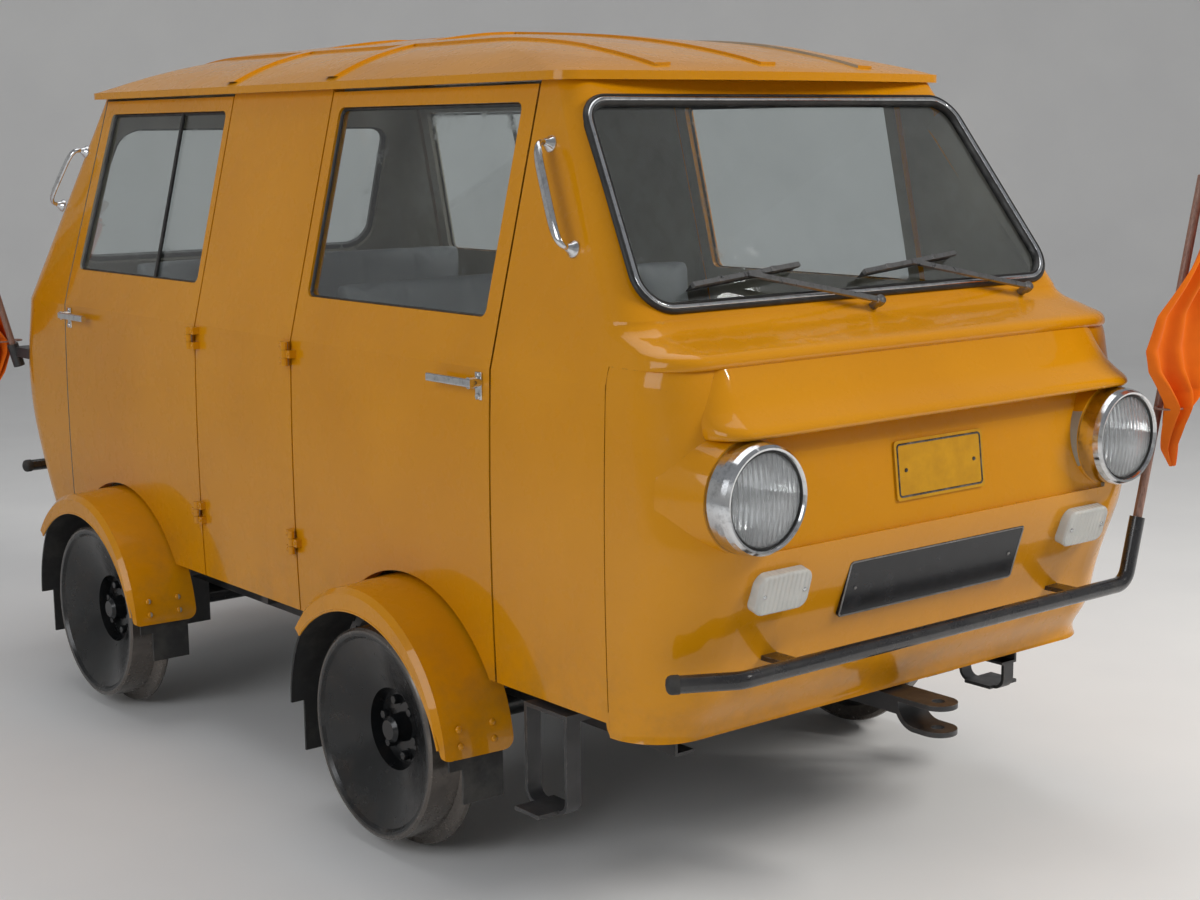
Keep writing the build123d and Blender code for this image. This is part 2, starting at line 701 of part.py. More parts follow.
REAR_PLANE, REAR_H = screen_plane(1, tail_y(REAR_LOW_Z), REAR_LOW_Z, tail_y(REAR_TOP_Z), REAR_TOP_Z)
REAR_ARGS = (REAR_PLANE, REAR_H, REAR_LOW_X, REAR_TOP_X)


def end_windows():
    seals, panes = [], []
    for args, r in ((SCREEN_ARGS, WS_CORNER_R), (REAR_ARGS, REAR_CORNER_R)):
        pane = screen_slab(*args, r, 20, -8, -8 + GLASS_T)
        lip = screen_slab(*args, r, 0, EPS, SEAL_PROUD) - screen_slab(*args, r, SEAL_WIDTH, -1, 20)
        web = screen_slab(*args, r, 10 + EPS, -16, 1) - screen_slab(*args, r, SEAL_WIDTH, -20, 20)
        seals.append(lip + web - screen_slab(*args, r, 20, -8, -8 + GLASS_T))
        panes.append(pane)
    write("window_seals", *seals)
    write("window_glass", *panes)


# Lamps

LAMP_X = 540.0
LAMP_Z = 902.0
LAMP_R = 107.0
LAMP_FACE_Y = 1720.0
LAMP_BACK_Y = 1560.0
LENS_R = 91.0
POD_Y = (1560.0, 1664.0)
POD_ROOT_R = 140.0
POD_TIP_R = 111.0
BROW_BACK_Y = 1500.0
COWL_DROP = 12.0         # how far the cowl's inner face lies below its outer one


def facing(x, y, z):
    """Place a shape whose local +Z looks forward, toward the nose."""
    return Pos(x, y, z) * Rot(90, 0, 0)


def headlamps():
    bezels, lenses = [], []
    depth = LAMP_FACE_Y - LAMP_BACK_Y
    for side in (-1, 1):
        at = facing(side * LAMP_X, MID_Y - LAMP_BACK_Y, LAMP_Z)
        profile = [
            (0, 0), (50, 0), (92, 55), (LAMP_R, 62), (LAMP_R, depth - 34), (LAMP_R - 1, depth - 19),
            (LAMP_R - 4, depth - 7), (LAMP_R - 9, depth), (LENS_R + 3, depth - 1), (LENS_R, depth - 6),
            (LENS_R - 2, depth - 16), (LENS_R - 6, depth - 40), (60, depth - 92), (24, depth - 112),
            (0, depth - 114),
        ]
        with BuildPart() as shell:
            with BuildSketch(Plane.XZ):
                with BuildLine():
                    Polyline(*profile, close=True)
                make_face()
            revolve(axis=Axis.Z)
        bezels.append(at * shell.part)
        lens_r = LENS_R - 2.5
        with BuildPart() as lens:
            with BuildSketch(Plane.XZ):
                with BuildLine():
                    Polyline((0, depth - 10), (0, depth + 5))
                    ThreePointArc((0, depth + 5), (lens_r * 0.6, depth + 0.2), (lens_r, depth - 9))
                    Polyline((lens_r, depth - 9), (lens_r, depth - 15), (0, depth - 10))
                make_face()
            revolve(axis=Axis.Z)
        lenses.append(at * lens.part)
    write("headlamp_shells", *bezels)
    write("headlamp_lenses", *lenses)


INDICATOR_X = 456.0
INDICATOR_Z = 720.0
INDICATOR_W = 138.0
INDICATOR_H = 84.0
INDICATOR_FACE_Y = 1672.0


def nose_y(z):
    """Reach of the nose at a height."""
    for (z0, y0, _), (z1, y1, _) in zip(NOSE, NOSE[1:]):
        if z0 <= z <= z1:
            return y0 + (y1 - y0) * (z - z0) / (z1 - z0)
    return NOSE[-1][1]


def indicators():
    solids = []
    skin = end_loft(NOSE, -1, SEAM_Y, -EPS)
    lean = degrees(atan2(nose_y(INDICATOR_Z + 40) - nose_y(INDICATOR_Z - 40), 80))
    for side in (-1, 1):
        at = Pos(side * INDICATOR_X, MID_Y - nose_y(INDICATOR_Z) + 16.5, INDICATOR_Z) * Rot(90 + lean, 0, 0)
        lens = Box(INDICATOR_W, INDICATOR_H, 42, align=(Align.CENTER, Align.CENTER, Align.MIN))
        lens = fillet(lens.edges().filter_by(Axis.Z), 24)
        lens = fillet(lens.faces().sort_by(Axis.Z)[-1].edges(), 6)
        solids.append(largest(at * lens - skin))
    write("indicator_lamps", *solids)


TAIL_LAMP_X = 470.0
TAIL_LAMP_Z = 830.0
TAIL_LAMP_R = 45.0
TAIL_LAMP_OUT = 26.0


def tail_lamps():
    tail = end_loft(TAIL_LOW, 1, TAIL_CUT_Y, -EPS)
    face_y = MID_Y + 1438 + TAIL_LAMP_OUT
    solids = []
    for side in (-1, 1):
        lens = Pos(side * TAIL_LAMP_X, face_y, TAIL_LAMP_Z) * Rot(90, 0, 0)
        lens = lens * Cylinder(TAIL_LAMP_R, 80, align=(Align.CENTER, Align.CENTER, Align.MIN))
        lens = fillet(lens.edges().group_by(Axis.Y)[-1], 6)
        solids.append((lens - tail).solids()[0])
    write("tail_lamps", *solids)


PLATE_T = 4.0
PLATES = {"yellow": (264.0, 120.0, 898.0), "black": (526.0, 124.0, 680.0)}


def plates():
    w, h, z = PLATES["yellow"]
    lean = degrees(atan2(PANEL_LOW_Y - PANEL_TOP_Y, LIP_LOW_Z - PANEL_LOW_Z))
    top = Pos(0, MID_Y - panel_y(z) - EPS, z) * Rot(90 - lean, 0, 0) * plate_blank(w, h, PLATE_T)
    w, h, z = PLATES["black"]
    lean = degrees(atan2(nose_y(z + 60) - nose_y(z - 60), 120))
    low = Pos(0, MID_Y - nose_y(z) + 4, z) * Rot(90 + lean, 0, 0) * plate_blank(w, h, PLATE_T + 4)
    low = largest(low - end_loft(NOSE, -1, SEAM_Y, -EPS))
    write("blank_plates", top, low)


def plate_blank(w, h, t):
    """Plate with rounded corners, its back at the origin."""
    blank = Box(w, h, t, align=(Align.CENTER, Align.CENTER, Align.MIN))
    return fillet(blank.edges().filter_by(Axis.Z), 8)


# Bumpers

BUMPER_R = 17.0
BUMPER_Z = 567.0
BUMPER_Y = 1694.0
BUMPER_X = 583.0
BUMPER_BEND_R = 40.0
SOCKET_X = 577.0
SOCKET_L = 150.0
SOCKET_DEPTH = 90.0
FLAG_LEAN = 14.6
REAR_BUMPER_Y = 1455.0
REAR_BUMPER_X = 660.0


def tube(points, radii, r):
    with BuildPart() as part:
        with BuildLine() as path:
            FilletPolyline(*points, radius=radii)
        with BuildSketch(Plane(origin=points[0], z_dir=Vector(*points[1]) - Vector(*points[0]))):
            Circle(r)
        sweep()
    return part.part


def socket_axis():
    """Foot and direction of the flag socket at the left end of the front bumper."""
    lean = radians(FLAG_LEAN)
    return Vector(SOCKET_X, MID_Y - BUMPER_Y, BUMPER_Z), Vector(sin(lean), 0, cos(lean))


def front_bumper():
    y = MID_Y - BUMPER_Y
    foot, axis = socket_axis()
    top = foot + axis * SOCKET_L
    right_end = (-688, y + 78, BUMPER_Z - 6)
    bar = tube([right_end, (-BUMPER_X, y, BUMPER_Z), tuple(foot), tuple(top)], BUMPER_BEND_R, BUMPER_R)
    for x in BRACKET_X:
        bar += box(x - 20, x + 20, y, MID_Y - 1560, BUMPER_Z - 5, BUMPER_Z + 5)
    bar -= end_loft(NOSE, -1, SEAM_Y, -EPS)
    bar -= Plane(origin=top, z_dir=axis) * Cylinder(STAFF_R + EPS, 2 * SOCKET_DEPTH)
    write("bumper_front", bar)


BRACKET_X = (-430.0, 430.0)
STAFF_R = 10.0


def rear_bumper():
    y = MID_Y + REAR_BUMPER_Y
    bar = Pos(0, y, BUMPER_Z) * Rot(0, 90, 0) * Cylinder(BUMPER_R, 2 * REAR_BUMPER_X)
    for x in BRACKET_X:
        bar += box(x - 20, x + 20, MID_Y + 1300, y, BUMPER_Z - 5, BUMPER_Z + 5)
    bar -= end_loft(TAIL_LOW, 1, TAIL_CUT_Y, -EPS)
    write("bumper_rear", bar)


# Mudguards


def guard(side, end):
    y = AXLE_Y[end]
    r0, r1 = GUARD_R, GUARD_R - GUARD_TAPER
    x0, x1, t = GUARD_IN_X, GUARD_OUT_X, GUARD_T
    with BuildPart() as part:
        with BuildSketch(Plane.XZ):
            with BuildLine():
                Polyline(
                    (x0, r0), (x1 - GUARD_ROUND, r1), (x1, r1 - GUARD_ROUND), (x1, GUARD_SKIRT_R),
                    (x1 - t, GUARD_SKIRT_R), (x1 - t, r1 - GUARD_ROUND - 2), (x1 - GUARD_ROUND - 2, r1 - t),
                    (x0 + t, r0 - t), (x0 + t, r0 - GUARD_LIP), (x0, r0 - GUARD_LIP), close=True,
                )
            make_face()
        revolve(axis=Axis.X)
    ring = Pos(0, y, AXLE_Z) * part.part
    opening = Pos(GUARD_OUT_X, y, GUARD_OPEN_Z) * Rot(0, 90, 0) * Cylinder(GUARD_OPEN_R, 60)
    ring -= opening
    keep = box(GUARD_IN_X, GUARD_OUT_X, y - 400, y, GUARD_LOW_Z, 700)
    keep = fillet(keep.edges().filter_by(Axis.Y).group_by(Axis.Z)[0], GUARD_CORNER_R)
    with BuildPart() as wedge:
        with BuildSketch(Plane.YZ.offset(600)):
            with BuildLine():
                reach = 500.0
                a = radians(GUARD_REAR_DEG)
                Polyline(
                    (y, AXLE_Z), (y + reach * cos(a), AXLE_Z + reach * sin(a)),
                    (y + reach * cos(a), AXLE_Z + reach), (y, AXLE_Z + reach), close=True,
                )
            make_face()
        extrude(amount=300)
    solid = (ring & (keep + wedge.part)).solids()[0]
    return solid if side > 0 else solid.mirror(Plane.YZ)


def flap(side, end, way):
    """Rubber flap at one end of a mudguard: a curved strip with a hanging tongue."""
    y = AXLE_Y[end]
    r1 = GUARD_R - GUARD_TAPER - GUARD_T - FLAP_GAP
    r0 = r1 - FLAP_T
    top_deg = 16.0 if way < 0 else GUARD_REAR_DEG + 10
    low = FRONT_FLAP_LOW_Z if way < 0 else REAR_FLAP_LOW_Z
    ring = Rot(0, 90, 0) * (Cylinder(r1, FLAP_OUT_X - FLAP_IN_X) - Cylinder(r0, FLAP_OUT_X))
    ring = Pos((FLAP_IN_X + FLAP_OUT_X) / 2, y, AXLE_Z) * ring
    a = radians(top_deg)
    reach = 600.0
    with BuildPart() as wedge:
        with BuildSketch(Plane.YZ.offset(600)):
            with BuildLine():
                Polyline(
                    (y, AXLE_Z), (y + way * reach, AXLE_Z), (y + way * reach, AXLE_Z + reach * sin(a)),
                    (y + way * reach * cos(a), AXLE_Z + reach * sin(a)), close=True,
                )
            make_face()
        extrude(amount=300)
    strip = ring & wedge.part
    y0, y1 = sorted((y + way * r0, y + way * r1))
    tongue = box(FLAP_IN_X, FLAP_HANG_X, y0, y1, low, AXLE_Z)
    solid = (strip + tongue).solids()[0]
    return solid if side > 0 else solid.mirror(Plane.YZ)


def mudguards():
    for end in AXLE_Y:
        write(f"mudguards_{end}", guard(-1, end), guard(1, end))
    write("mudflaps", *[flap(s, e, w) for s in (-1, 1) for e in AXLE_Y for w in (-1, 1)])


# Steps, couplers and handles

STEP_Z = 222.0
STEP_LEG_X = 672.0
STEP_TREAD_X = (640.0, 740.0)
STEP_STRAP = (8.0, 36.0)     # thickness and width of the bent strap
STEP_BEND_R = 30.0
STEP_TOP_Z = 425.0
STEP_Y = (-1300.0, -1160.0)


def steps():
    solids = []
    t, w = STEP_STRAP
    y0, y1 = (MID_Y + y for y in STEP_Y)
    for side in (-1, 1):
        x = side * STEP_LEG_X
        hoop = box(x - w / 2, x + w / 2, y0, y1, STEP_Z - t, STEP_TOP_Z)
        low = hoop.edges().filter_by(Axis.X).group_by(Axis.Z)[0]
        hoop = fillet(low, STEP_BEND_R)
        hollow = box(x - w, x + w, y0 + t, y1 - t, STEP_Z, STEP_TOP_Z - t)
        low = hollow.edges().filter_by(Axis.X).group_by(Axis.Z)[0]
        hoop -= fillet(low, STEP_BEND_R - t)
        tread_x = sorted(side * v for v in STEP_TREAD_X)
        tread = box(*tread_x, y0 + STEP_BEND_R, y1 - STEP_BEND_R, STEP_Z - t, STEP_Z)
        arm = box(*sorted((side * (RAIL_X + RAIL_W / 2 + EPS), x)), y0, y1, STEP_TOP_Z - 2 * t, STEP_TOP_Z)
        solids.append(hoop + tread + arm)
    write("steps", *solids)


COUPLER_Z = 370.0
COUPLER_GAP = 45.0
COUPLER_W = 80.0
COUPLER_LIP = 11.0           # thickness of the lips
COUPLER_ROOT_H = 38.0
COUPLER_MOUTH = 115.0        # depth of the mouth
COUPLER_TIP_Y = 1702.0
REAR_COUPLER_TIP_Y = 1470.0
PIN_BORE_R = 14.0


def couplers():
    """Jaws with a straight upper lip and a lower lip that curves down out of the root."""
    solids = []
    up, r, t = COUPLER_Z + COUPLER_GAP / 2, COUPLER_GAP, COUPLER_LIP
    half = COUPLER_W / 2
    low = up + t - COUPLER_ROOT_H
    for way, tip in ((-1, COUPLER_TIP_Y), (1, REAR_COUPLER_TIP_Y)):
        root = abs(CROSS_Y[0 if way < 0 else -1]) + CROSS_W / 2 + EPS
        throat = tip - COUPLER_MOUTH
        bend = throat + r
        heel = bend - sqrt((r + t) ** 2 - (up - low) ** 2)

        heel_turn = radians(90 + degrees(atan2(up - low, bend - heel))) / 2
        outer_mid = (bend - (r + t) * cos(heel_turn), up - (r + t) * sin(heel_turn))
        inner_mid = (bend - r / sqrt(2), up - r / sqrt(2))
        with BuildPart() as jaw:
            with BuildSketch(Plane.YZ.offset(-half)):
                with BuildLine():
                    Polyline((root, low), (root, up + t), (tip, up + t), (tip, up), (throat, up))
                    ThreePointArc((throat, up), inner_mid, (bend, up - r))
                    Polyline((bend, up - r), (tip, up - r), (tip, up - r - t), (bend, up - r - t))
                    ThreePointArc((bend, up - r - t), outer_mid, (heel, low))
                    Line((heel, low), (root, low))
                make_face()
            extrude(amount=COUPLER_W)
        profile = jaw.part if way > 0 else jaw.part.mirror(Plane.XZ)
        pin_y = MID_Y + way * (tip - half)
        plan = box(-half, half, *sorted((MID_Y + way * root, pin_y)), low - r - t, up + t)
        plan += Pos(0, pin_y, COUPLER_Z) * Cylinder(half, 2 * COUPLER_GAP + 4 * t)
        bore = Pos(0, pin_y, COUPLER_Z) * Cylinder(PIN_BORE_R, 2 * COUPLER_GAP + 4 * t)
        solids.append(largest(((Pos(0, MID_Y, 0) * profile) & plan) - bore))
    write("couplers", *solids)


GRAB_Y = {"front": (-1121.0, -1254.0), "rear": (1080.0, 1180.0)}
GRAB_Z = {"front": (1545.0, 1343.0), "rear": (1525.0, 1370.0)}


def grab_handles():
    solids = []
    skin = {
        "front": end_loft(SCREEN, -1, DOOR_END_Y, -EPS, smooth=False),
        "rear": end_loft(TAIL_HIGH, 1, TAIL_BACK_Y, -EPS, smooth=False),
    }
    for end in GRAB_Y:
        for side in (-1, 1):
            (ya, yb), (za, zb) = GRAB_Y[end], GRAB_Z[end]
            out = Vector(side * 0.97, 0, 0.24)
            a = Vector(side * side_x(za), MID_Y + ya, za)
            b = Vector(side * side_x(zb), MID_Y + yb, zb)
            p = [a - out * 16, a + out * 43, b + out * 43, b - out * 16]
            bow = tube([tuple(v) for v in p], 26, 8)
            solids.append(largest(bow - skin[end]))
    write("grab_handles", *solids)


WIPER_X = (0.0, 475.0)
WIPER_ARM = (-330.0, 62.0)
WIPER_HALF = 150.0


def bar_between(a, b, w, h, normal):
    """Straight bar from a to b, w across and h along the normal."""
    d = b - a
    return Plane(origin=(a + b) * 0.5, x_dir=normal, z_dir=d) * Box(h, w, d.length)


def on_screen(u, v, n):
    """Point from the windscreen's own plane: across, up the slope and out of it."""
    return SCREEN_PLANE.from_local_coords(Vector(u, v, n))


def wipers():
    cowl = end_loft(COWL, -1, DOOR_END_Y, -EPS) + end_loft(SCREEN, -1, DOOR_END_Y, -EPS, smooth=False)
    normal = SCREEN_PLANE.z_dir
    across, up = WIPER_ARM
    solids = []
    for x in WIPER_X:
        spindle = Plane(origin=on_screen(x, -22, 8), z_dir=normal) * Cylinder(9, 44)
        arm = bar_between(on_screen(x, -22, 26), on_screen(x + across, up, 26), 12, 6, normal)
        ends = [on_screen(x + across + way * WIPER_HALF, up + way * 14, 22) for way in (-1, 1)]
        blade = bar_between(*ends, 10, 9, normal)
        solids.append((largest(spindle - cowl) + arm + blade).solids()[0])
    write("wipers", *solids)


# Interior

DESK_TOP_Z = 1094.0
DESK_H = 60.0
DESK_Y = (1418.0, 1300.0)
SEAT_Y = (-760.0, 330.0)     # front edge of each bench
SEAT_DEEP = 420.0
SEAT_HALF_X = 560.0
SEAT_FRAME_Z = 640.0
SEAT_FRAME_T = 20.0
CUSHION_TOP_Z = 740.0
BACK_SIZE = (1120.0, 80.0, 560.0)
BACK_Z = 950.0
BACK_LEAN = 9.0
CUSHION_R = 24.0
ENGINE = ((-230.0, 230.0), (900.0, 1180.0), 780.0)   # across, behind the middle, top


def interior():
    frames, cushions = [], []
    t = SEAT_FRAME_T
    for reach in SEAT_Y:
        y0, y1 = MID_Y + reach, MID_Y + reach + SEAT_DEEP
        frame = box(-SEAT_HALF_X, SEAT_HALF_X, y0, y1, FLOOR_Z, SEAT_FRAME_Z)
        hollow = box(t - SEAT_HALF_X, SEAT_HALF_X - t, y0 + t, y1 - t, FLOOR_Z - 1, SEAT_FRAME_Z - t)
        frames.append(frame - hollow)
        half_x = SEAT_HALF_X + 10
        cushion = box(-half_x, half_x, y0 - 10, y1, SEAT_FRAME_Z + EPS, CUSHION_TOP_Z)
        cushions.append(fillet(cushion.edges(), CUSHION_R))
        back = Pos(0, y1 + 50, BACK_Z) * Rot(-BACK_LEAN, 0, 0) * Box(*BACK_SIZE)
        cushions.append(fillet(back.edges(), CUSHION_R + 2))
    write("seat_frames", *frames)
    write("seat_cushions", *cushions)
    (x0, x1), (y0, y1), top = ENGINE
    write("engine_block", box(x0, x1, MID_Y + y0, MID_Y + y1, FLOOR_Z, top))
    desk_x = side_x(DESK_TOP_Z, WALL) - EPS
    y0, y1 = (MID_Y - y for y in DESK_Y)
    write("control_desk", box(-desk_x, desk_x, y0, y1, DESK_TOP_Z - DESK_H, DESK_TOP_Z))


# Signal flags


STAFF_L = {"front": 860.0, "rear": 620.0}
REAR_STAFF = (-664.0, 1452.0, 880.0)
SLEEVE_L = 70.0
SLEEVE_R = STAFF_R + 7
FLAG_T = 26.0
# Outline of the hanging cloth: distance out from the mid-plane and height
FLAG_OUTLINE = [
    (712, 816), (666, 860), (652, 925), (634, 979), (579, 1041), (570, 1090), (600, 1159),
    (774, 1345), (835, 1425), (868, 1380), (850, 1080), (801, 963), (709, 940), (727, 838),
]


def flag_axis(end):
    """Foot and direction of a flag staff."""
    foot, axis = socket_axis()
    if end == "front":
        return foot + axis * (SOCKET_L - SOCKET_DEPTH + EPS), axis
    x, y, z = REAR_STAFF
    return Vector(x, MID_Y + y, z), Vector(-axis.X, 0, axis.Z)


def in_sleeve(shape):
    """Place a shape, drawn about its own Z, in the holder of the rear staff."""
    foot, axis = flag_axis("rear")
    return Plane(origin=foot + axis * (SLEEVE_L / 2), z_dir=axis) * shape


def flags():
    staffs = []
    for end, length in STAFF_L.items():
        foot, axis = flag_axis(end)
        staffs.append(Plane(origin=foot + axis * (length / 2), z_dir=axis) * Cylinder(STAFF_R, length))
        way = -1 if end == "front" else 1
        y = foot.Y + way * (STAFF_R + EPS)
        with BuildPart() as cloth:
            with BuildSketch(Plane.XZ):
                with BuildLine():
                    Polyline(*[(-way * x, z) for x, z in FLAG_OUTLINE], close=True)
                make_face()
            extrude(amount=FLAG_T)
        y0 = y if way > 0 else y - FLAG_T
        sheet = Pos(0, y0 + FLAG_T, 0) * cloth.part
        write(f"flag_{end}", sheet - in_sleeve(Cylinder(SLEEVE_R + EPS, SLEEVE_L + 2 * EPS)))
    write("flag_staffs", *staffs)
    foot, _ = flag_axis("rear")
    sleeve = in_sleeve(Cylinder(SLEEVE_R, SLEEVE_L) - Cylinder(STAFF_R + EPS, SLEEVE_L + 2))
    strap = box(foot.X - 14, foot.X + 60, foot.Y - 240, foot.Y, foot.Z + 30, foot.Z + 60)
    strap -= in_sleeve(Cylinder(SLEEVE_R - 2, 2 * SLEEVE_L))
    strap -= end_loft(TAIL_LOW, 1, TAIL_CUT_Y, -EPS)
    write("flag_holder", (sleeve + largest(strap)).solids()[0])


def build():
    wheelset("wheelset_front")
    wheelset("wheelset_rear")
    chassis()
    floor_pan()
    axle_boxes()
    front_frame()
    nose_shell()
    centre_panels()
    rear_shell()
    roof_panel()
    for side in (-1, 1):
        for way in (-1, 1):
            door(side, way)
    end_windows()
    headlamps()
    indicators()
    tail_lamps()
    plates()
    front_bumper()
    rear_bumper()
    mudguards()
    steps()
    couplers()
    grab_handles()
    wipers()
    interior()
    flags()


build()
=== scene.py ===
import json
from math import copysign, cos, pi, radians, sin, sqrt, tan

import bmesh
import bpy
from mathutils import Matrix, Vector


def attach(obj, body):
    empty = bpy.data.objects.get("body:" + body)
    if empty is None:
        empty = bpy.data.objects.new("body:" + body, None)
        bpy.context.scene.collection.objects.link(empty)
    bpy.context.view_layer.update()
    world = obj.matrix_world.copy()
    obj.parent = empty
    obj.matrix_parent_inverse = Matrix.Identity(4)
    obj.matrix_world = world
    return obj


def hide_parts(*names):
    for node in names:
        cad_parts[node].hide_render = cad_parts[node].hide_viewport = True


# A small enclosed rail inspection car: looks, soft goods, small trim, light and camera.
# Metres. The nose points to -Y, +X is the vehicle's left side, +Z is up.

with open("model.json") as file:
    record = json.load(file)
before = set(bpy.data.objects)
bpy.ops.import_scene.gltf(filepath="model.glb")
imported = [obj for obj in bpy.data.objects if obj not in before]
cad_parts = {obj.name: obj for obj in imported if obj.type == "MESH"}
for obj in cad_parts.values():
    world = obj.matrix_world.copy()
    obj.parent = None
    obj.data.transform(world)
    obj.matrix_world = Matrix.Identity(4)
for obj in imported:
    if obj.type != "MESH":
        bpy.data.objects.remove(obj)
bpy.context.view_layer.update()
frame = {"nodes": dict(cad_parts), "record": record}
NODES = frame["nodes"]
CAR = "carbody"

MID_Y = 0.110
AXLE_Z = 0.267
AXLE_Y = {"front": MID_Y - 0.72, "rear": MID_Y + 0.72}


# Node helpers


def new_material(name):
    mat = bpy.data.materials.new(name)
    mat.use_nodes = True
    nt = mat.node_tree
    nt.nodes.clear()
    out = nt.nodes.new("ShaderNodeOutputMaterial")
    bsdf = nt.nodes.new("ShaderNodeBsdfPrincipled")
    nt.links.new(bsdf.outputs["BSDF"], out.inputs["Surface"])
    return mat, nt, bsdf


def coords(nt, scale=(1, 1, 1)):
    tex = nt.nodes.new("ShaderNodeTexCoord")
    mapping = nt.nodes.new("ShaderNodeMapping")
    mapping.inputs["Scale"].default_value = scale
    nt.links.new(tex.outputs["Object"], mapping.inputs["Vector"])
    return mapping.outputs["Vector"]


def noise(nt, scale, detail, rough=0.5, stretch=(1, 1, 1)):
    node = nt.nodes.new("ShaderNodeTexNoise")
    node.inputs["Scale"].default_value = scale
    node.inputs["Detail"].default_value = detail
    node.inputs["Roughness"].default_value = rough
    nt.links.new(coords(nt, stretch), node.inputs["Vector"])
    return node.outputs["Fac"]


def remap(nt, value, lo, hi, to_lo=0.0, to_hi=1.0):
    node = nt.nodes.new("ShaderNodeMapRange")
    node.inputs["From Min"].default_value = lo
    node.inputs["From Max"].default_value = hi
    node.inputs["To Min"].default_value = to_lo
    node.inputs["To Max"].default_value = to_hi
    nt.links.new(value, node.inputs["Value"])
    return node.outputs["Result"]


def calc(nt, op, a, b=0.0):
    node = nt.nodes.new("ShaderNodeMath")
    node.operation = op
    for socket, value in zip(node.inputs, (a, b)):
        if isinstance(value, (int, float)):
            socket.default_value = value
        else:
            nt.links.new(value, socket)
    return node.outputs[0]


def mix(nt, fac, a, b):
    node = nt.nodes.new("ShaderNodeMix")
    node.data_type = "RGBA"
    nt.links.new(fac, node.inputs[0])
    for socket, value in ((node.inputs[6], a), (node.inputs[7], b)):
        if isinstance(value, tuple):
            socket.default_value = (*value, 1.0)
        else:
            nt.links.new(value, socket)
    return node.outputs[2]


def times(nt, a, b):
    return calc(nt, "MULTIPLY", a, b)


def spread(nt, field, lo=0.0, hi=1.0):
    """Stretch the part of a noise field where most of it lies over a range."""
    return remap(nt, field, 0.3, 0.7, lo, hi)


def height_of(nt):
    split = nt.nodes.new("ShaderNodeSeparateXYZ")
    nt.links.new(coords(nt), split.inputs[0])
    return split.outputs["Z"]


def shade(tone, share):
    return tuple(share * c for c in tone)


def coat(nt, bsdf, hue, rough):
    """Connect a material's colour and roughness."""
    nt.links.new(hue, bsdf.inputs["Base Color"])
    nt.links.new(rough, bsdf.inputs["Roughness"])


def bump(nt, bsdf, *layers):
    """Stack of bumps, each (height, strength, distance in metres)."""
    normal = None
    for height, strength, distance in layers:
        node = nt.nodes.new("ShaderNodeBump")
        node.inputs["Strength"].default_value = strength
        node.inputs["Distance"].default_value = distance
        nt.links.new(height, node.inputs["Height"])
        if normal is not None:
            nt.links.new(normal, node.inputs["Normal"])
        normal = node.outputs["Normal"]
    nt.links.new(normal, bsdf.inputs["Normal"])


EDGE_COS = (0.995, 0.9)     # cosine between the true normal and a rounded edge's: flat, fully worn


def edge_mask(nt, radius):
    """1 on edges that wear, 0 on flats."""
    bevel = nt.nodes.new("ShaderNodeBevel")
    bevel.samples = 2
    bevel.inputs["Radius"].default_value = radius
    geo = nt.nodes.new("ShaderNodeNewGeometry")
    dot = nt.nodes.new("ShaderNodeVectorMath")
    dot.operation = "DOT_PRODUCT"
    nt.links.new(bevel.outputs["Normal"], dot.inputs[0])
    nt.links.new(geo.outputs["Normal"], dot.inputs[1])
    return remap(nt, dot.outputs["Value"], *EDGE_COS)


def set_in(bsdf, **values):
    """Set constants on the shader's sockets; an underscore stands for a space in a socket's name."""
    for name, value in values.items():
        bsdf.inputs[name.replace("_", " ")].default_value = value


# Materials


INSIDE_HALF = (0.65, 1.45, 0.10)    # half sizes that weigh the three directions against each other
ROOF_LINING_Z = 1.66
INWARD = -0.25                      # faces that look at the cab's middle more than this are lined
DIRT_Z = (0.62, 0.40)               # the dirt begins at the first height and is full at the second


def inner_side(nt):
    """1 on the faces of the body that look into the cab, 0 on its outside."""
    tex = nt.nodes.new("ShaderNodeTexCoord")
    at, normal = (nt.nodes.new("ShaderNodeSeparateXYZ") for _ in range(2))
    nt.links.new(tex.outputs["Object"], at.inputs[0])
    nt.links.new(tex.outputs["Normal"], normal.inputs[0])
    along = calc(nt, "SUBTRACT", at.outputs["Y"], MID_Y)
    above = calc(nt, "MAXIMUM", calc(nt, "SUBTRACT", at.outputs["Z"], ROOF_LINING_Z), 0.0)
    facing = [times(nt, calc(nt, "DIVIDE", place, half), normal.outputs[axis])
              for place, half, axis in zip((at.outputs["X"], along, above), INSIDE_HALF, "XYZ")]
    outward = calc(nt, "ADD", calc(nt, "ADD", facing[0], facing[1]), facing[2])
    return calc(nt, "LESS_THAN", outward, INWARD)


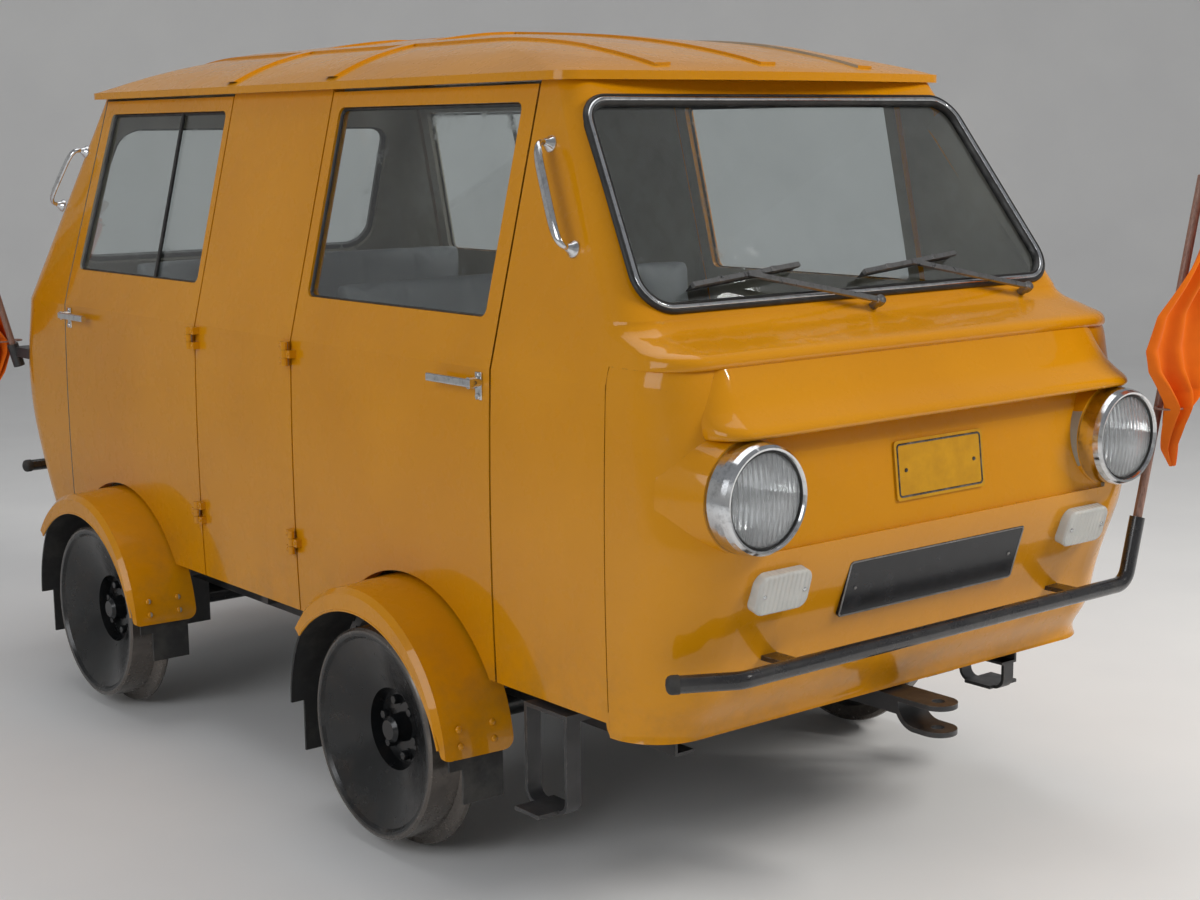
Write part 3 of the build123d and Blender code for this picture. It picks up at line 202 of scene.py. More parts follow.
def body_paint():
    """Glossy orange with dirt low down, specks and chipped edges; the cab's inside is lined in grey."""
    mat, nt, b = new_material("body_paint")
    hue = mix(nt, spread(nt, noise(nt, 2.2, 2)), (0.66, 0.272, 0.0020), (0.59, 0.236, 0.0016))
    low_down = remap(nt, height_of(nt), *DIRT_Z)
    grime = times(nt, low_down, remap(nt, noise(nt, 9, 5, 0.7), 0.45, 0.75))
    hue = mix(nt, times(nt, grime, 0.45), hue, (0.20, 0.12, 0.045))
    specks = remap(nt, noise(nt, 160, 2, 0.8), 0.70, 0.76)
    hue = mix(nt, times(nt, specks, 0.35), hue, (0.30, 0.14, 0.02))
    chips = times(nt, edge_mask(nt, 0.002), remap(nt, noise(nt, 55, 4, 0.75), 0.56, 0.62))
    hue = mix(nt, chips, hue, (0.12, 0.07, 0.035))
    lining = mix(nt, spread(nt, noise(nt, 5, 4, 0.6)), (0.40, 0.37, 0.30), (0.30, 0.275, 0.22))
    hue = mix(nt, inner_side(nt), hue, lining)
    coat(nt, b, hue, spread(nt, noise(nt, 14, 4, 0.6), 0.22, 0.34))
    set_in(b, Coat_Weight=0.6, Coat_Roughness=0.03, Specular_IOR_Level=0.10)
    bump(nt, b, (noise(nt, 1.7, 1, 0.4), 0.22, 0.006), (noise(nt, 700, 2, 0.5), 0.02, 0.0003))
    return mat


def black_paint(name, tone, rough, worn, gloss):
    """Dark paint with dust and edges worn to grey metal."""
    mat, nt, b = new_material(name)
    hue = mix(nt, noise(nt, 30, 4, 0.6), shade(tone, 0.6), shade(tone, 1.5))
    dust = remap(nt, noise(nt, 7, 5, 0.7), 0.5, 0.8)
    hue = mix(nt, times(nt, dust, 0.25), hue, (0.16, 0.145, 0.12))
    wear = times(nt, edge_mask(nt, 0.003), remap(nt, noise(nt, 40, 4, 0.7), 0.45, 0.6))
    hue = mix(nt, times(nt, wear, worn), hue, (0.30, 0.27, 0.24))
    coat(nt, b, hue, spread(nt, noise(nt, 22, 4, 0.6), rough - 0.08, rough + 0.12))
    set_in(b, Coat_Weight=gloss, Coat_Roughness=0.12)
    bump(nt, b, (noise(nt, 240, 3, 0.6), 0.12, 0.0006), (noise(nt, 12, 2), 0.10, 0.002))
    return mat


TREAD_R = (0.2225, 0.2315)      # distances from the axle between which the scuffing sets in
DISH_DUST_R = (0.12, 0.21)


def wheel_steel():
    """Black painted wheels with dust in the dish and a scuffed tread and flange."""
    mat, nt, b = new_material("wheel_steel")
    split = nt.nodes.new("ShaderNodeSeparateXYZ")
    nt.links.new(coords(nt), split.inputs[0])
    dz = calc(nt, "SUBTRACT", split.outputs["Z"], AXLE_Z)
    from_axle = []
    for y in AXLE_Y.values():
        dy = calc(nt, "SUBTRACT", split.outputs["Y"], y)
        from_axle.append(calc(nt, "SQRT", calc(nt, "ADD", times(nt, dy, dy), times(nt, dz, dz))))
    r = calc(nt, "MINIMUM", *from_axle)
    hue = mix(nt, noise(nt, 18, 5, 0.6), (0.004, 0.0045, 0.005), (0.013, 0.014, 0.015))
    rust = remap(nt, noise(nt, 11, 6, 0.7), 0.52, 0.72)
    hue = mix(nt, times(nt, rust, 0.18), hue, (0.08, 0.050, 0.03))
    scuff = times(nt, remap(nt, r, *TREAD_R), remap(nt, noise(nt, 45, 4, 0.7), 0.30, 0.55, 0.45, 1.0))
    hue = mix(nt, times(nt, scuff, 0.85), hue, (0.20, 0.175, 0.155))
    dust = times(nt, remap(nt, r, *DISH_DUST_R), remap(nt, noise(nt, 8, 4, 0.7), 0.4, 0.7))
    hue = mix(nt, times(nt, dust, 0.12), hue, (0.15, 0.14, 0.125))
    coat(nt, b, hue, spread(nt, noise(nt, 30, 4, 0.6), 0.16, 0.30))
    nt.links.new(remap(nt, scuff, 0.3, 1.0, 0.0, 0.7), b.inputs["Metallic"])
    bump(nt, b, (noise(nt, 150, 4, 0.65), 0.08, 0.0010), (noise(nt, 8, 2), 0.10, 0.003))
    return mat


def rubber(name, tone, rough, dusty):
    """Black rubber with dust."""
    mat, nt, b = new_material(name)
    hue = mix(nt, noise(nt, 25, 4, 0.6), (tone * 0.8,) * 3, (tone * 1.7,) * 3)
    dust = remap(nt, noise(nt, 9, 5, 0.7), 0.45, 0.75)
    hue = mix(nt, times(nt, dust, dusty), hue, (0.15, 0.14, 0.12))
    coat(nt, b, hue, spread(nt, noise(nt, 35, 3), rough - 0.1, rough + 0.15))
    bump(nt, b, (noise(nt, 320, 3, 0.6), 0.2, 0.0006), (noise(nt, 16, 3), 0.2, 0.002))
    return mat


def bright_metal(name, tone, rough):
    """Chrome or bare metal with duller spots."""
    mat, nt, b = new_material(name)
    hue = mix(nt, remap(nt, noise(nt, 60, 5, 0.7), 0.5, 0.75), tone, shade(tone, 0.55))
    coat(nt, b, hue, remap(nt, noise(nt, 40, 4, 0.7), 0.3, 0.75, rough * 0.6, rough * 2.4))
    set_in(b, Metallic=1.0)
    bump(nt, b, (noise(nt, 90, 3, 0.6), 0.06, 0.0006))
    return mat


def clear_glass(name, tint, dirty):
    """Window glass with smears."""
    mat, nt, b = new_material(name)
    hue = mix(nt, spread(nt, noise(nt, 6, 3)), tint, shade(tint, 0.96))
    coat(nt, b, hue, remap(nt, noise(nt, 11, 5, 0.75), 0.52, 0.85, 0.0, dirty))
    set_in(b, Transmission_Weight=1.0, IOR=1.45)
    bump(nt, b, (noise(nt, 5, 1), 0.04, 0.002))
    return mat


def ripple(nt, direction, scale):
    """Even waves across one direction."""
    node = nt.nodes.new("ShaderNodeTexWave")
    node.bands_direction = direction
    node.inputs["Scale"].default_value = scale
    nt.links.new(coords(nt), node.inputs["Vector"])
    return node.outputs["Fac"]


def lamp_glass(name, tint, rough, clear):
    """Pressed lens glass with vertical flutes."""
    mat, nt, b = new_material(name)
    set_in(b, Transmission_Weight=clear, IOR=1.45)
    hue = mix(nt, spread(nt, noise(nt, 20, 3)), tint, shade(tint, 0.9))
    coat(nt, b, hue, spread(nt, noise(nt, 50, 3), rough, rough + 0.08))
    bump(nt, b, (ripple(nt, "X", 26), 0.5, 0.0016))
    return mat


def plastic(name, tone, rough, gloss, uneven):
    """Moulded plastic with an uneven tone."""
    mat, nt, b = new_material(name)
    hue = mix(nt, spread(nt, noise(nt, 24, 4, 0.6)), tone, shade(tone, 1 - uneven))
    coat(nt, b, hue, spread(nt, noise(nt, 30, 3), rough, rough + 0.15))
    set_in(b, Coat_Weight=gloss, Coat_Roughness=0.08)
    bump(nt, b, (noise(nt, 260, 2), 0.10, 0.0005))
    return mat


PLATES_APART_Z = 0.79


def plate_paint():
    """Yellow on the upper plate and black on the lower one, both with fine scratches."""
    mat, nt, b = new_material("plate_paint")
    yellow = mix(nt, spread(nt, noise(nt, 30, 4, 0.6)), (0.62, 0.31, 0.012), (0.50, 0.24, 0.010))
    black = mix(nt, spread(nt, noise(nt, 26, 4, 0.6)), (0.010, 0.011, 0.013), (0.022, 0.023, 0.026))
    upper = calc(nt, "GREATER_THAN", height_of(nt), PLATES_APART_Z)
    hue = mix(nt, upper, black, yellow)
    scratch = remap(nt, noise(nt, 40, 5, 0.7, (0.3, 1, 6)), 0.66, 0.74)
    hue = mix(nt, times(nt, scratch, 0.25), hue, (0.22, 0.20, 0.17))
    coat(nt, b, hue, remap(nt, scratch, 0.0, 1.0, 0.24, 0.50))
    set_in(b, Coat_Weight=0.1, Coat_Roughness=0.1, Specular_IOR_Level=0.3)
    bump(nt, b, (noise(nt, 9, 2), 0.12, 0.002), (noise(nt, 260, 2), 0.05, 0.0004))
    return mat


def vinyl(name, tone):
    """Grained seat vinyl with creases."""
    mat, nt, b = new_material(name)
    hue = mix(nt, spread(nt, noise(nt, 7, 4, 0.6)), tone, shade(tone, 0.72))
    coat(nt, b, hue, spread(nt, noise(nt, 15, 4, 0.6), 0.38, 0.58))
    cells = nt.nodes.new("ShaderNodeTexVoronoi")
    cells.inputs["Scale"].default_value = 420
    nt.links.new(coords(nt), cells.inputs["Vector"])
    bump(nt, b, (cells.outputs["Distance"], 0.35, 0.0008), (noise(nt, 22, 4, 0.6), 0.25, 0.002))
    return mat


def wood(name, tone):
    """Varnished wood whose grain runs up the staffs."""
    mat, nt, b = new_material(name)
    grain = noise(nt, 60, 6, 0.65, (6, 6, 0.35))
    hue = mix(nt, remap(nt, grain, 0.35, 0.65), tone, shade(tone, 0.5))
    coat(nt, b, hue, spread(nt, grain, 0.42, 0.62))
    set_in(b, Coat_Weight=0.25, Coat_Roughness=0.25)
    bump(nt, b, (grain, 0.3, 0.0006))
    return mat


def flag_cloth(name):
    """Plain woven cloth."""
    mat, nt, b = new_material(name)
    hue = mix(nt, spread(nt, noise(nt, 6, 4, 0.6)), (0.86, 0.185, 0.006), (0.76, 0.140, 0.005))
    coat(nt, b, hue, spread(nt, noise(nt, 30, 3), 0.55, 0.7))
    set_in(b, Sheen_Weight=0.08, Sheen_Roughness=0.4, Specular_IOR_Level=0.2)
    weave = calc(nt, "ADD", ripple(nt, "X", 260), ripple(nt, "Z", 260))
    bump(nt, b, (weave, 0.2, 0.0005), (noise(nt, 30, 3), 0.15, 0.002))
    return mat


MATERIALS = {
    "body_orange": body_paint(),
    "black_steel": black_paint("chassis_black", (0.030, 0.030, 0.032), 0.45, 0.5, 0.1),
    "black_tube": black_paint("tube_black", (0.016, 0.016, 0.018), 0.26, 0.6, 0.5),
    "floor_paint": black_paint("floor_black", (0.05, 0.05, 0.05), 0.6, 0.3, 0.0),
    "flap_rubber": rubber("flap_rubber", 0.018, 0.62, 0.35),
    "seal_rubber": rubber("seal_rubber", 0.012, 0.42, 0.15),
    "clear_glass": clear_glass("window_glass_clear", (0.86, 0.90, 0.90), 0.25),
    "bright_metal": bright_metal("bright_metal", (0.72, 0.73, 0.74), 0.10),
    "lamp_glass": lamp_glass("lamp_glass", (0.92, 0.94, 0.95), 0.02, 0.88),
    "indicator_lens": lamp_glass("indicator_lens", (0.90, 0.91, 0.88), 0.12, 0.5),
    "red_lens": plastic("red_lens", (0.45, 0.012, 0.010), 0.12, 0.6, 0.15),
    "plate_paint": plate_paint(),
    "wiper_metal": bright_metal("wiper_metal", (0.30, 0.295, 0.29), 0.34),
    "seat_frame_paint": black_paint("seat_frame_grey", (0.09, 0.09, 0.095), 0.5, 0.4, 0.0),
    "seat_cover": vinyl("seat_vinyl", (0.30, 0.31, 0.33)),
    "engine_iron": black_paint("engine_cover_grey", (0.12, 0.125, 0.13), 0.5, 0.4, 0.0),
    "desk_paint": plastic("desk_grey", (0.16, 0.165, 0.17), 0.45, 0.0, 0.25),
    "staff_wood": wood("staff_wood", (0.36, 0.20, 0.15)),
    "flag_cloth": flag_cloth("flag_cloth"),
    "wheel_steel": wheel_steel(),
}


def paint_nodes():
    """Give each node of the frame the look of its material slot."""
    for part in frame["record"]["subparts"]:
        paint = MATERIALS[part["material_slot"]]
        node = NODES[part["node"]]
        for material_slot in node.material_slots:
            material_slot.material = paint
        if not node.material_slots:
            node.data.materials.append(paint)


# Mesh helpers


def new_object(name, data):
    obj = bpy.data.objects.new(name, data)
    bpy.context.scene.collection.objects.link(obj)
    return obj


def smooth_mesh(name, bm):
    mesh = bpy.data.meshes.new(name)
    bm.to_mesh(mesh)
    bm.free()
    mesh.shade_smooth()
    return mesh


def add_piece(name, bm, slot, body, smooth=38):
    """Object from a bmesh, riding on a body and painted like a material slot.

    Edges sharper than smooth degrees stay crisp.
    """
    bmesh.ops.recalc_face_normals(bm, faces=bm.faces)
    mesh = smooth_mesh(name, bm)
    mesh.set_sharp_from_angle(angle=radians(smooth))
    mesh.materials.append(MATERIALS[slot])
    obj = new_object(name, mesh)
    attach(obj, body)
    return obj


def frame_at(origin, x_dir, z_dir):
    """Local frame with its own X and Z directions."""
    z = Vector(z_dir).normalized()
    x = (Vector(x_dir) - z * z.dot(Vector(x_dir))).normalized()
    turn = Matrix((x, z.cross(x), z)).transposed().to_4x4()
    return Matrix.Translation(origin) @ turn


def circle(r, steps):
    return [(r * cos(2 * pi * i / steps), r * sin(2 * pi * i / steps)) for i in range(steps)]


def lathe(bm, local, profile, segments):
    """Revolve (radius, height) points about the local Z; a radius of 0 closes an end."""
    rings = []
    for r, h in profile:
        ring = circle(r, segments) if r else [(0, 0)]
        rings.append([bm.verts.new(local @ Vector((x, y, h))) for x, y in ring])
    for a, b in zip(rings, rings[1:]):
        for i in range(segments):
            j = (i + 1) % segments
            corners = [a[i % len(a)], a[j % len(a)], b[j % len(b)], b[i % len(b)]]
            kept = [v for k, v in enumerate(corners) if v not in corners[:k]]
            if len(kept) > 2:
                bm.faces.new(kept)


def rounded(corners, r, steps):
    """Closed outline of a polygon with rounded corners, drawn counterclockwise."""
    points = []
    for i, corner in enumerate(corners):
        p, a, b = Vector(corner), Vector(corners[i - 1]), Vector(corners[(i + 1) % len(corners)])
        to_a, to_b = (a - p).normalized(), (b - p).normalized()
        half = to_a.angle(to_b) / 2
        centre = p + (to_a + to_b).normalized() * (r / sin(half))
        start = p + to_a * (r / tan(half)) - centre
        end = p + to_b * (r / tan(half)) - centre
        bend = start.angle_signed(end)
        points += [centre + Matrix.Rotation(-bend * k / steps, 2) @ start for k in range(steps + 1)]
    return points


def rectangle(w, h):
    return [(-w / 2, -h / 2), (w / 2, -h / 2), (w / 2, h / 2), (-w / 2, h / 2)]


def sweep(bm, local, outline, section, closed=True):
    """Sweep a closed section of (outward, height) points along an outline in the local XY plane."""
    n = len(outline)
    rings = []
    for i, p in enumerate(outline):
        ahead = outline[(i + 1) % n] if closed else outline[min(i + 1, n - 1)]
        behind = outline[i - 1] if closed else outline[max(i - 1, 0)]
        t = (ahead - behind).normalized()
        out = Vector((t.y, -t.x))
        rings.append([bm.verts.new(local @ Vector((*(p + out * u), v))) for u, v in section])
    join_rings(bm, rings, closed)


def join_rings(bm, rings, closed):
    """Faces between rings of equal length, with caps on the ends of an open row."""
    count = len(rings[0])
    for i in range(len(rings) if closed else len(rings) - 1):
        a, b = rings[i], rings[(i + 1) % len(rings)]
        for j in range(count):
            k = (j + 1) % count
            bm.faces.new((a[j], b[j], b[k], a[k]))
    if not closed:
        bm.faces.new(rings[0])
        bm.faces.new(list(reversed(rings[-1])))


def half_round(width, height, lift=0.0, steps=6):
    """Section of a domed strip, centred on the outline."""
    arc = [pi * i / steps for i in range(steps + 1)]
    return [(-width / 2 * cos(a), lift + height * sin(a)) for a in arc]


def soft_box(bm, local, size, bevel, segments=2):
    """Box with rounded edges, centred on the local origin."""
    made = bmesh.ops.create_cube(bm, size=1.0, matrix=local @ Matrix.Diagonal((*size, 1)))
    edges = list({e for v in made["verts"] for e in v.link_edges})
    bmesh.ops.bevel(bm, geom=edges, offset=bevel, segments=segments, profile=0.6, affect="EDGES")


def hex_bolt(bm, local, across, height):
    """Hexagon head with a chamfered top, on a washer."""
    r, washer_r, washer = across / sqrt(3), 0.74 * across, 0.16 * height
    lathe(bm, local, [(washer_r, 0), (washer_r, washer), (0, washer)], 20)
    lathe(bm, local, [(r, washer), (r, 0.85 * height), (0.84 * r, height), (0, height)], 6)


def screw_head(bm, local, r):
    lathe(bm, local, [(r, 0), (r, 0.2 * r), (0.85 * r, 0.45 * r), (0.5 * r, 0.6 * r), (0, 0.65 * r)], 14)


# Places that the solids give

DOOR_BODY = {(-1, -1): "front_right_door", (1, -1): "front_left_door",
             (-1, 1): "rear_right_door", (1, 1): "rear_left_door"}
WHEEL_BODY = {"front": "front_wheelset", "rear": "rear_wheelset"}
BELT_Z = 1.094
BELT_X = 0.679
SIDE_LEAN = 0.2441
SIDE_COS = 1 / sqrt(1 + SIDE_LEAN**2)


def side_x(z):
    return BELT_X - max(0.0, z - BELT_Z) * SIDE_LEAN


def side_frame(side, z):
    """Frame on the leaning upper side: Y runs up the side and Z points out of it."""
    return frame_at((side * side_x(z), MID_Y, z), (0, side, 0), (side, 0, SIDE_LEAN))


def end_window(way, low, top, r):
    """Frame and outline of an end window, from (reach, height, half width) at both edges."""
    (low_y, low_z, low_x), (top_y, top_z, top_x) = low, top
    run, rise = low_y - top_y, top_z - low_z
    height = sqrt(run**2 + rise**2)
    local = frame_at((0, MID_Y + way * low_y, low_z), (-way, 0, 0), (0, way * rise, run))
    return local, rounded([(-low_x, 0), (low_x, 0), (top_x, height), (-top_x, height)], r, 12)


SCREEN = end_window(-1, (1.452, 1.224, 0.618), (1.174, 1.640, 0.547), 0.078)
REAR_SCREEN = end_window(1, (1.3505, 1.190, 0.540), (1.0906, 1.610, 0.470), 0.090)
# Section of the windows' rubber: outward from the opening's outline and above the skin
RUBBER = [
    (0.0, 0.0003), (0.0008, 0.0040), (-0.0012, 0.0080), (-0.0050, 0.0100), (-0.0070, 0.0086),
    (-0.0072, 0.0066), (-0.0176, 0.0066), (-0.0178, 0.0084), (-0.0200, 0.0092), (-0.0235, 0.0062),
    (-0.0250, 0.0010), (-0.0250, -0.0110), (-0.0108, -0.0150), (-0.0108, 0.0003),
]
STRIP = (0.0108, 0.0046, 0.0062)    # width and height of the bright strip, and its lift off the skin
STRIP_IN = 0.0124


def end_window_trim():
    """Rounded rubber of both end windows with the bright strip in its groove."""
    rubber_bm, strip_bm = bmesh.new(), bmesh.new()
    strip = [(u - STRIP_IN, v) for u, v in half_round(*STRIP)]
    for local, outline in (SCREEN, REAR_SCREEN):
        sweep(rubber_bm, local, outline, RUBBER)
        sweep(strip_bm, local, outline, strip)
    seal = add_piece("window_rubber", rubber_bm, "seal_rubber", CAR, 50)
    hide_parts("window_seals")
    add_piece("window_bright_strip", strip_bm, "bright_metal", CAR)


SIDE_LOW_Z = 1.196
SIDE_TOP_Z = 1.630
# Side windows of the front and rear doors: near and far edge from the middle, and the far edge at the top
SIDE_WINDOWS = {-1: (0.283, 1.000, 1.000), 1: (0.272, 0.995, 0.947)}
SIDE_CORNER_R = 0.018
GASKET = [(0.0004, -0.0119), (0.0004, -0.0068), (-0.0022, -0.0052), (-0.0050, -0.0076), (-0.0064, -0.0119)]
DIVIDER_Y = 0.525
DIVIDER_IN = 0.0085
DIVIDER = (0.013, 0.0066)       # width and thickness
DIVIDER_BEVEL = 0.0015


def side_window_trim():
    """Rubber round each door glass, and the upright of the sliding rear windows."""
    height = (SIDE_TOP_Z - SIDE_LOW_Z) / SIDE_COS
    for (side, way), body in DOOR_BODY.items():
        near, far, far_top = (side * way * y for y in SIDE_WINDOWS[way])
        corners = [(near, 0), (far, 0), (far_top, height), (near, height)]
        if far < near:
            corners = [corners[i] for i in (1, 0, 3, 2)]
        local = side_frame(side, SIDE_LOW_Z)
        bm = bmesh.new()
        sweep(bm, local, rounded(corners, SIDE_CORNER_R, 6), GASKET)
        if way > 0:
            wide, thick = DIVIDER
            middle = Matrix.Translation((side * DIVIDER_Y, height / 2, -DIVIDER_IN))
            soft_box(bm, local @ middle, (wide, height, thick), DIVIDER_BEVEL)
        add_piece(f"{body}_gasket", bm, "seal_rubber", body, 50)


WELL_FLOOR_X = 0.700
WHEEL_BOLTS = 6
WHEEL_BOLT_R = 0.063            # from the axle to the bolts
WHEEL_BOLT = (0.019, 0.016)     # across the flats and height


def wheel_bolts():
    for end, body in WHEEL_BODY.items():
        bm = bmesh.new()
        for side in (-1, 1):
            for i in range(WHEEL_BOLTS):
                a = 2 * pi * (i + 0.25) / WHEEL_BOLTS
                y, z = AXLE_Y[end] + WHEEL_BOLT_R * cos(a), AXLE_Z + WHEEL_BOLT_R * sin(a)
                hex_bolt(bm, frame_at((side * WELL_FLOOR_X, y, z), (0, 1, 0), (side, 0, 0)), *WHEEL_BOLT)
        add_piece(f"wheel_bolts_{end}", bm, "wheel_steel", body)


GUARD_BEAD_X = 0.822
GUARD_BEAD_R = 0.0034
GUARD_EDGE_R = 0.335
GUARD_EDGE_Z = 0.213
GUARD_EDGE_ARC = (161.9, 45.3)   # degrees above the rearward direction, front end to rear end
GUARD_EDGE_STEPS = 40
GUARD_BAND_R = 0.3375
GUARD_SCREW_DEG = (9.0, 15.0)
GUARD_SCREW_X = (0.690, 0.775)
GUARD_SCREW_R = 0.0075


def mudguard_trim():
    """Rolled bead round each wheel opening and the screws that hold the flaps."""
    first, last = (radians(d) for d in GUARD_EDGE_ARC)
    turns = [first + (last - first) * i / GUARD_EDGE_STEPS for i in range(GUARD_EDGE_STEPS + 1)]
    arc = [Vector((GUARD_EDGE_R * cos(a), GUARD_EDGE_R * sin(a))) for a in turns]
    for end, y in AXLE_Y.items():
        bm = bmesh.new()
        for side in (-1, 1):
            # The outline's X runs to the rear, its Y up and its Z out of the side
            edge = Matrix.Translation((side * GUARD_BEAD_X, y, GUARD_EDGE_Z))
            edge @= Matrix(((0, 0, side, 0), (1, 0, 0, 0), (0, 1, 0, 0), (0, 0, 0, 1)))
            sweep(bm, edge, arc, circle(GUARD_BEAD_R, 10), closed=False)
            for x in GUARD_SCREW_X:
                for deg in GUARD_SCREW_DEG:
                    out = Vector((0, -cos(radians(deg)), sin(radians(deg))))
                    at = Vector((side * x, y, AXLE_Z)) + GUARD_BAND_R * out
                    screw_head(bm, frame_at(at, (1, 0, 0), out), GUARD_SCREW_R)
        add_piece(f"mudguard_trim_{end}", bm, "body_orange", CAR)


HINGE_Z = (0.608, 1.061)
HINGE_Y = 0.2435
HINGE_OUT_X = 0.699
HINGE_SCREW_Y = 0.017       # from the pin to the screws of a leaf
HINGE_SCREW_Z = 0.019
HINGE_SCREW_R = 0.0048


def hinge_screws():
    """Screws in the leaves: one on the door's and two on the panel's."""
    panel_bm = bmesh.new()
    for (side, way), body in DOOR_BODY.items():
        door_bm = bmesh.new()
        for z in HINGE_Z:
            y = MID_Y + way * HINGE_Y
            spots = [(door_bm, y + way * HINGE_SCREW_Y, z)]
            spots += [(panel_bm, y - way * HINGE_SCREW_Y, z + dz) for dz in (-HINGE_SCREW_Z, HINGE_SCREW_Z)]
            for bm, at_y, at_z in spots:
                local = frame_at((side * HINGE_OUT_X, at_y, at_z), (0, 1, 0), (side, 0, 0))
                screw_head(bm, local, HINGE_SCREW_R)
        add_piece(f"{body}_hinge_screws", door_bm, "body_orange", body)
    add_piece("panel_hinge_screws", panel_bm, "body_orange", CAR)


HANDLE_Y = 1.013
HANDLE_Z = 1.066
HANDLE_PLATE = (0.022, 0.058, 0.0052)
HANDLE_PLATE_OUT = 0.0032
HANDLE_PLATE_DROP = 0.008
HANDLE_PLATE_BEVEL = 0.0022
BARREL_AT = (0, -0.021, 0.002)      # along, up and out of the plate
BARREL = [(0.0072, 0), (0.0072, 0.003), (0.0062, 0.0042), (0.0032, 0.0042), (0, 0.0026)]
HANDLE_SCREW_AT = (0, 0.0235, 0.0024)
HANDLE_SCREW_R = 0.0035


def door_handle_plates():
    """Bright plate with its key barrel and screw behind each door handle."""
    for (side, way), body in DOOR_BODY.items():
        bm = bmesh.new()
        x, y = side * (BELT_X + HANDLE_PLATE_OUT), MID_Y + way * HANDLE_Y
        local = frame_at((x, y, HANDLE_Z - HANDLE_PLATE_DROP), (0, side, 0), (side, 0, 0))
        soft_box(bm, local, HANDLE_PLATE, HANDLE_PLATE_BEVEL, 3)
        lathe(bm, local @ Matrix.Translation(BARREL_AT), BARREL, 20)
        screw_head(bm, local @ Matrix.Translation(HANDLE_SCREW_AT), HANDLE_SCREW_R)
        add_piece(f"{body}_handle_plate", bm, "bright_metal", body)


# Feet of the grab handles: (reach, height) of the upper and the lower one
GRABS = {-1: ((1.121, 1.545), (1.254, 1.343)), 1: ((1.080, 1.525), (1.180, 1.370))}
GRAB_OUT = 0.044
GRAB_POWER = 0.42       # the smaller, the squarer the arch
GRAB_THICK = 0.0062
GRAB_SWELL = 0.0058
GRAB_STEPS = 32
GRAB_SIDES = 14
GRAB_FOOT = [
    (0.0180, 0), (0.0180, 0.0025), (0.0165, 0.0060), (0.0120, 0.0095), (0.0095, 0.0150),
    (0.0070, 0.0190), (0, 0.0190),
]


def grab_handles():
    """Cast handles that swell toward the middle, on round feet."""
    bm = bmesh.new()
    for side in (-1, 1):
        out = Vector((side, 0, SIDE_LEAN)).normalized()
        for way, feet in GRABS.items():
            a, b = (Vector((side * side_x(z), MID_Y + way * y, z)) for y, z in feet)
            along = (b - a).normalized()
            across = out.cross(along)
            points, widths = [], []
            for i in range(GRAB_STEPS + 1):
                turn = pi * i / GRAB_STEPS
                s = 0.5 * (1 - copysign(abs(cos(turn)) ** GRAB_POWER, cos(turn)))
                h = GRAB_OUT * sin(turn) ** GRAB_POWER if 0 < i < GRAB_STEPS else 0.0
                points.append(a.lerp(b, s) + out * h)
                widths.append(GRAB_THICK + GRAB_SWELL * sin(turn) ** 2)
            rings = []
            for i, (p, wide) in enumerate(zip(points, widths)):
                up = across.cross((points[min(i + 1, GRAB_STEPS)] - points[max(i - 1, 0)]).normalized())
                rings.append([bm.verts.new(p + across * (wide * u) + up * (GRAB_THICK * v))
                              for u, v in circle(1, GRAB_SIDES)])
            join_rings(bm, rings, closed=False)
            for foot in (a, b):
                lathe(bm, frame_at(foot, along, out), GRAB_FOOT, 28)
    grips = add_piece("grab_handles_cast", bm, "bright_metal", CAR)
    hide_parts("grab_handles")


LAMP_X = 0.540
LAMP_Z = 0.902
LAMP_FACE_Y = -1.610
LAMP_GASKET = [
    (0.0880, -0.0120), (0.0880, -0.0062), (0.0898, -0.0042), (0.0914, -0.0056), (0.0914, -0.0120),
]
BULB_IN = 0.092
BULB = [
    (0.0075, 0), (0.0078, 0.004), (0.0125, 0.012), (0.0130, 0.020), (0.0090, 0.029), (0, 0.032),
]
BULB_HOLDER_IN = 0.1135
BULB_HOLDER = [(0.0170, 0), (0.0170, 0.005), (0.0105, 0.008), (0.0105, 0.022), (0, 0.022)]
INDICATOR = ((0.456, -1.5664, 0.7083), (0, -0.960, -0.279))     # middle of the lens and its direction
INDICATOR_SCREW_X = 0.052
INDICATOR_SCREW_R = 0.0046
TAIL_LAMP = (0.470, 1.546, 0.830)
TAIL_RIM = [(0.0440, 0), (0.0525, 0), (0.0525, 0.0060), (0.0500, 0.0100), (0.0455, 0.0100)]


def lamp_details():
    """Bulbs and gaskets of the headlamps, screws of the indicators and rims of the tail lamps."""
    bulb_bm, rubber_bm, metal_bm = bmesh.new(), bmesh.new(), bmesh.new()
    for side in (-1, 1):
        lamp = frame_at((side * LAMP_X, LAMP_FACE_Y, LAMP_Z), (1, 0, 0), (0, -1, 0))
        lathe(rubber_bm, lamp, LAMP_GASKET, 48)
        lathe(bulb_bm, lamp @ Matrix.Translation((0, 0, -BULB_IN)), BULB, 20)
        lathe(metal_bm, lamp @ Matrix.Translation((0, 0, -BULB_HOLDER_IN)), BULB_HOLDER, 20)
        (x, y, z), out = INDICATOR
        for dx in (-INDICATOR_SCREW_X, INDICATOR_SCREW_X):
            screw_head(metal_bm, frame_at((side * x + dx, y, z), (1, 0, 0), out), INDICATOR_SCREW_R)
        x, y, z = TAIL_LAMP
        lathe(metal_bm, frame_at((side * x, y, z), (1, 0, 0), (0, 1, 0)), TAIL_RIM, 40)
    add_piece("headlamp_bulbs", bulb_bm, "lamp_glass", CAR)
    add_piece("headlamp_gaskets", rubber_bm, "seal_rubber", CAR)
    add_piece("lamp_screws_and_rims", metal_bm, "bright_metal", CAR)


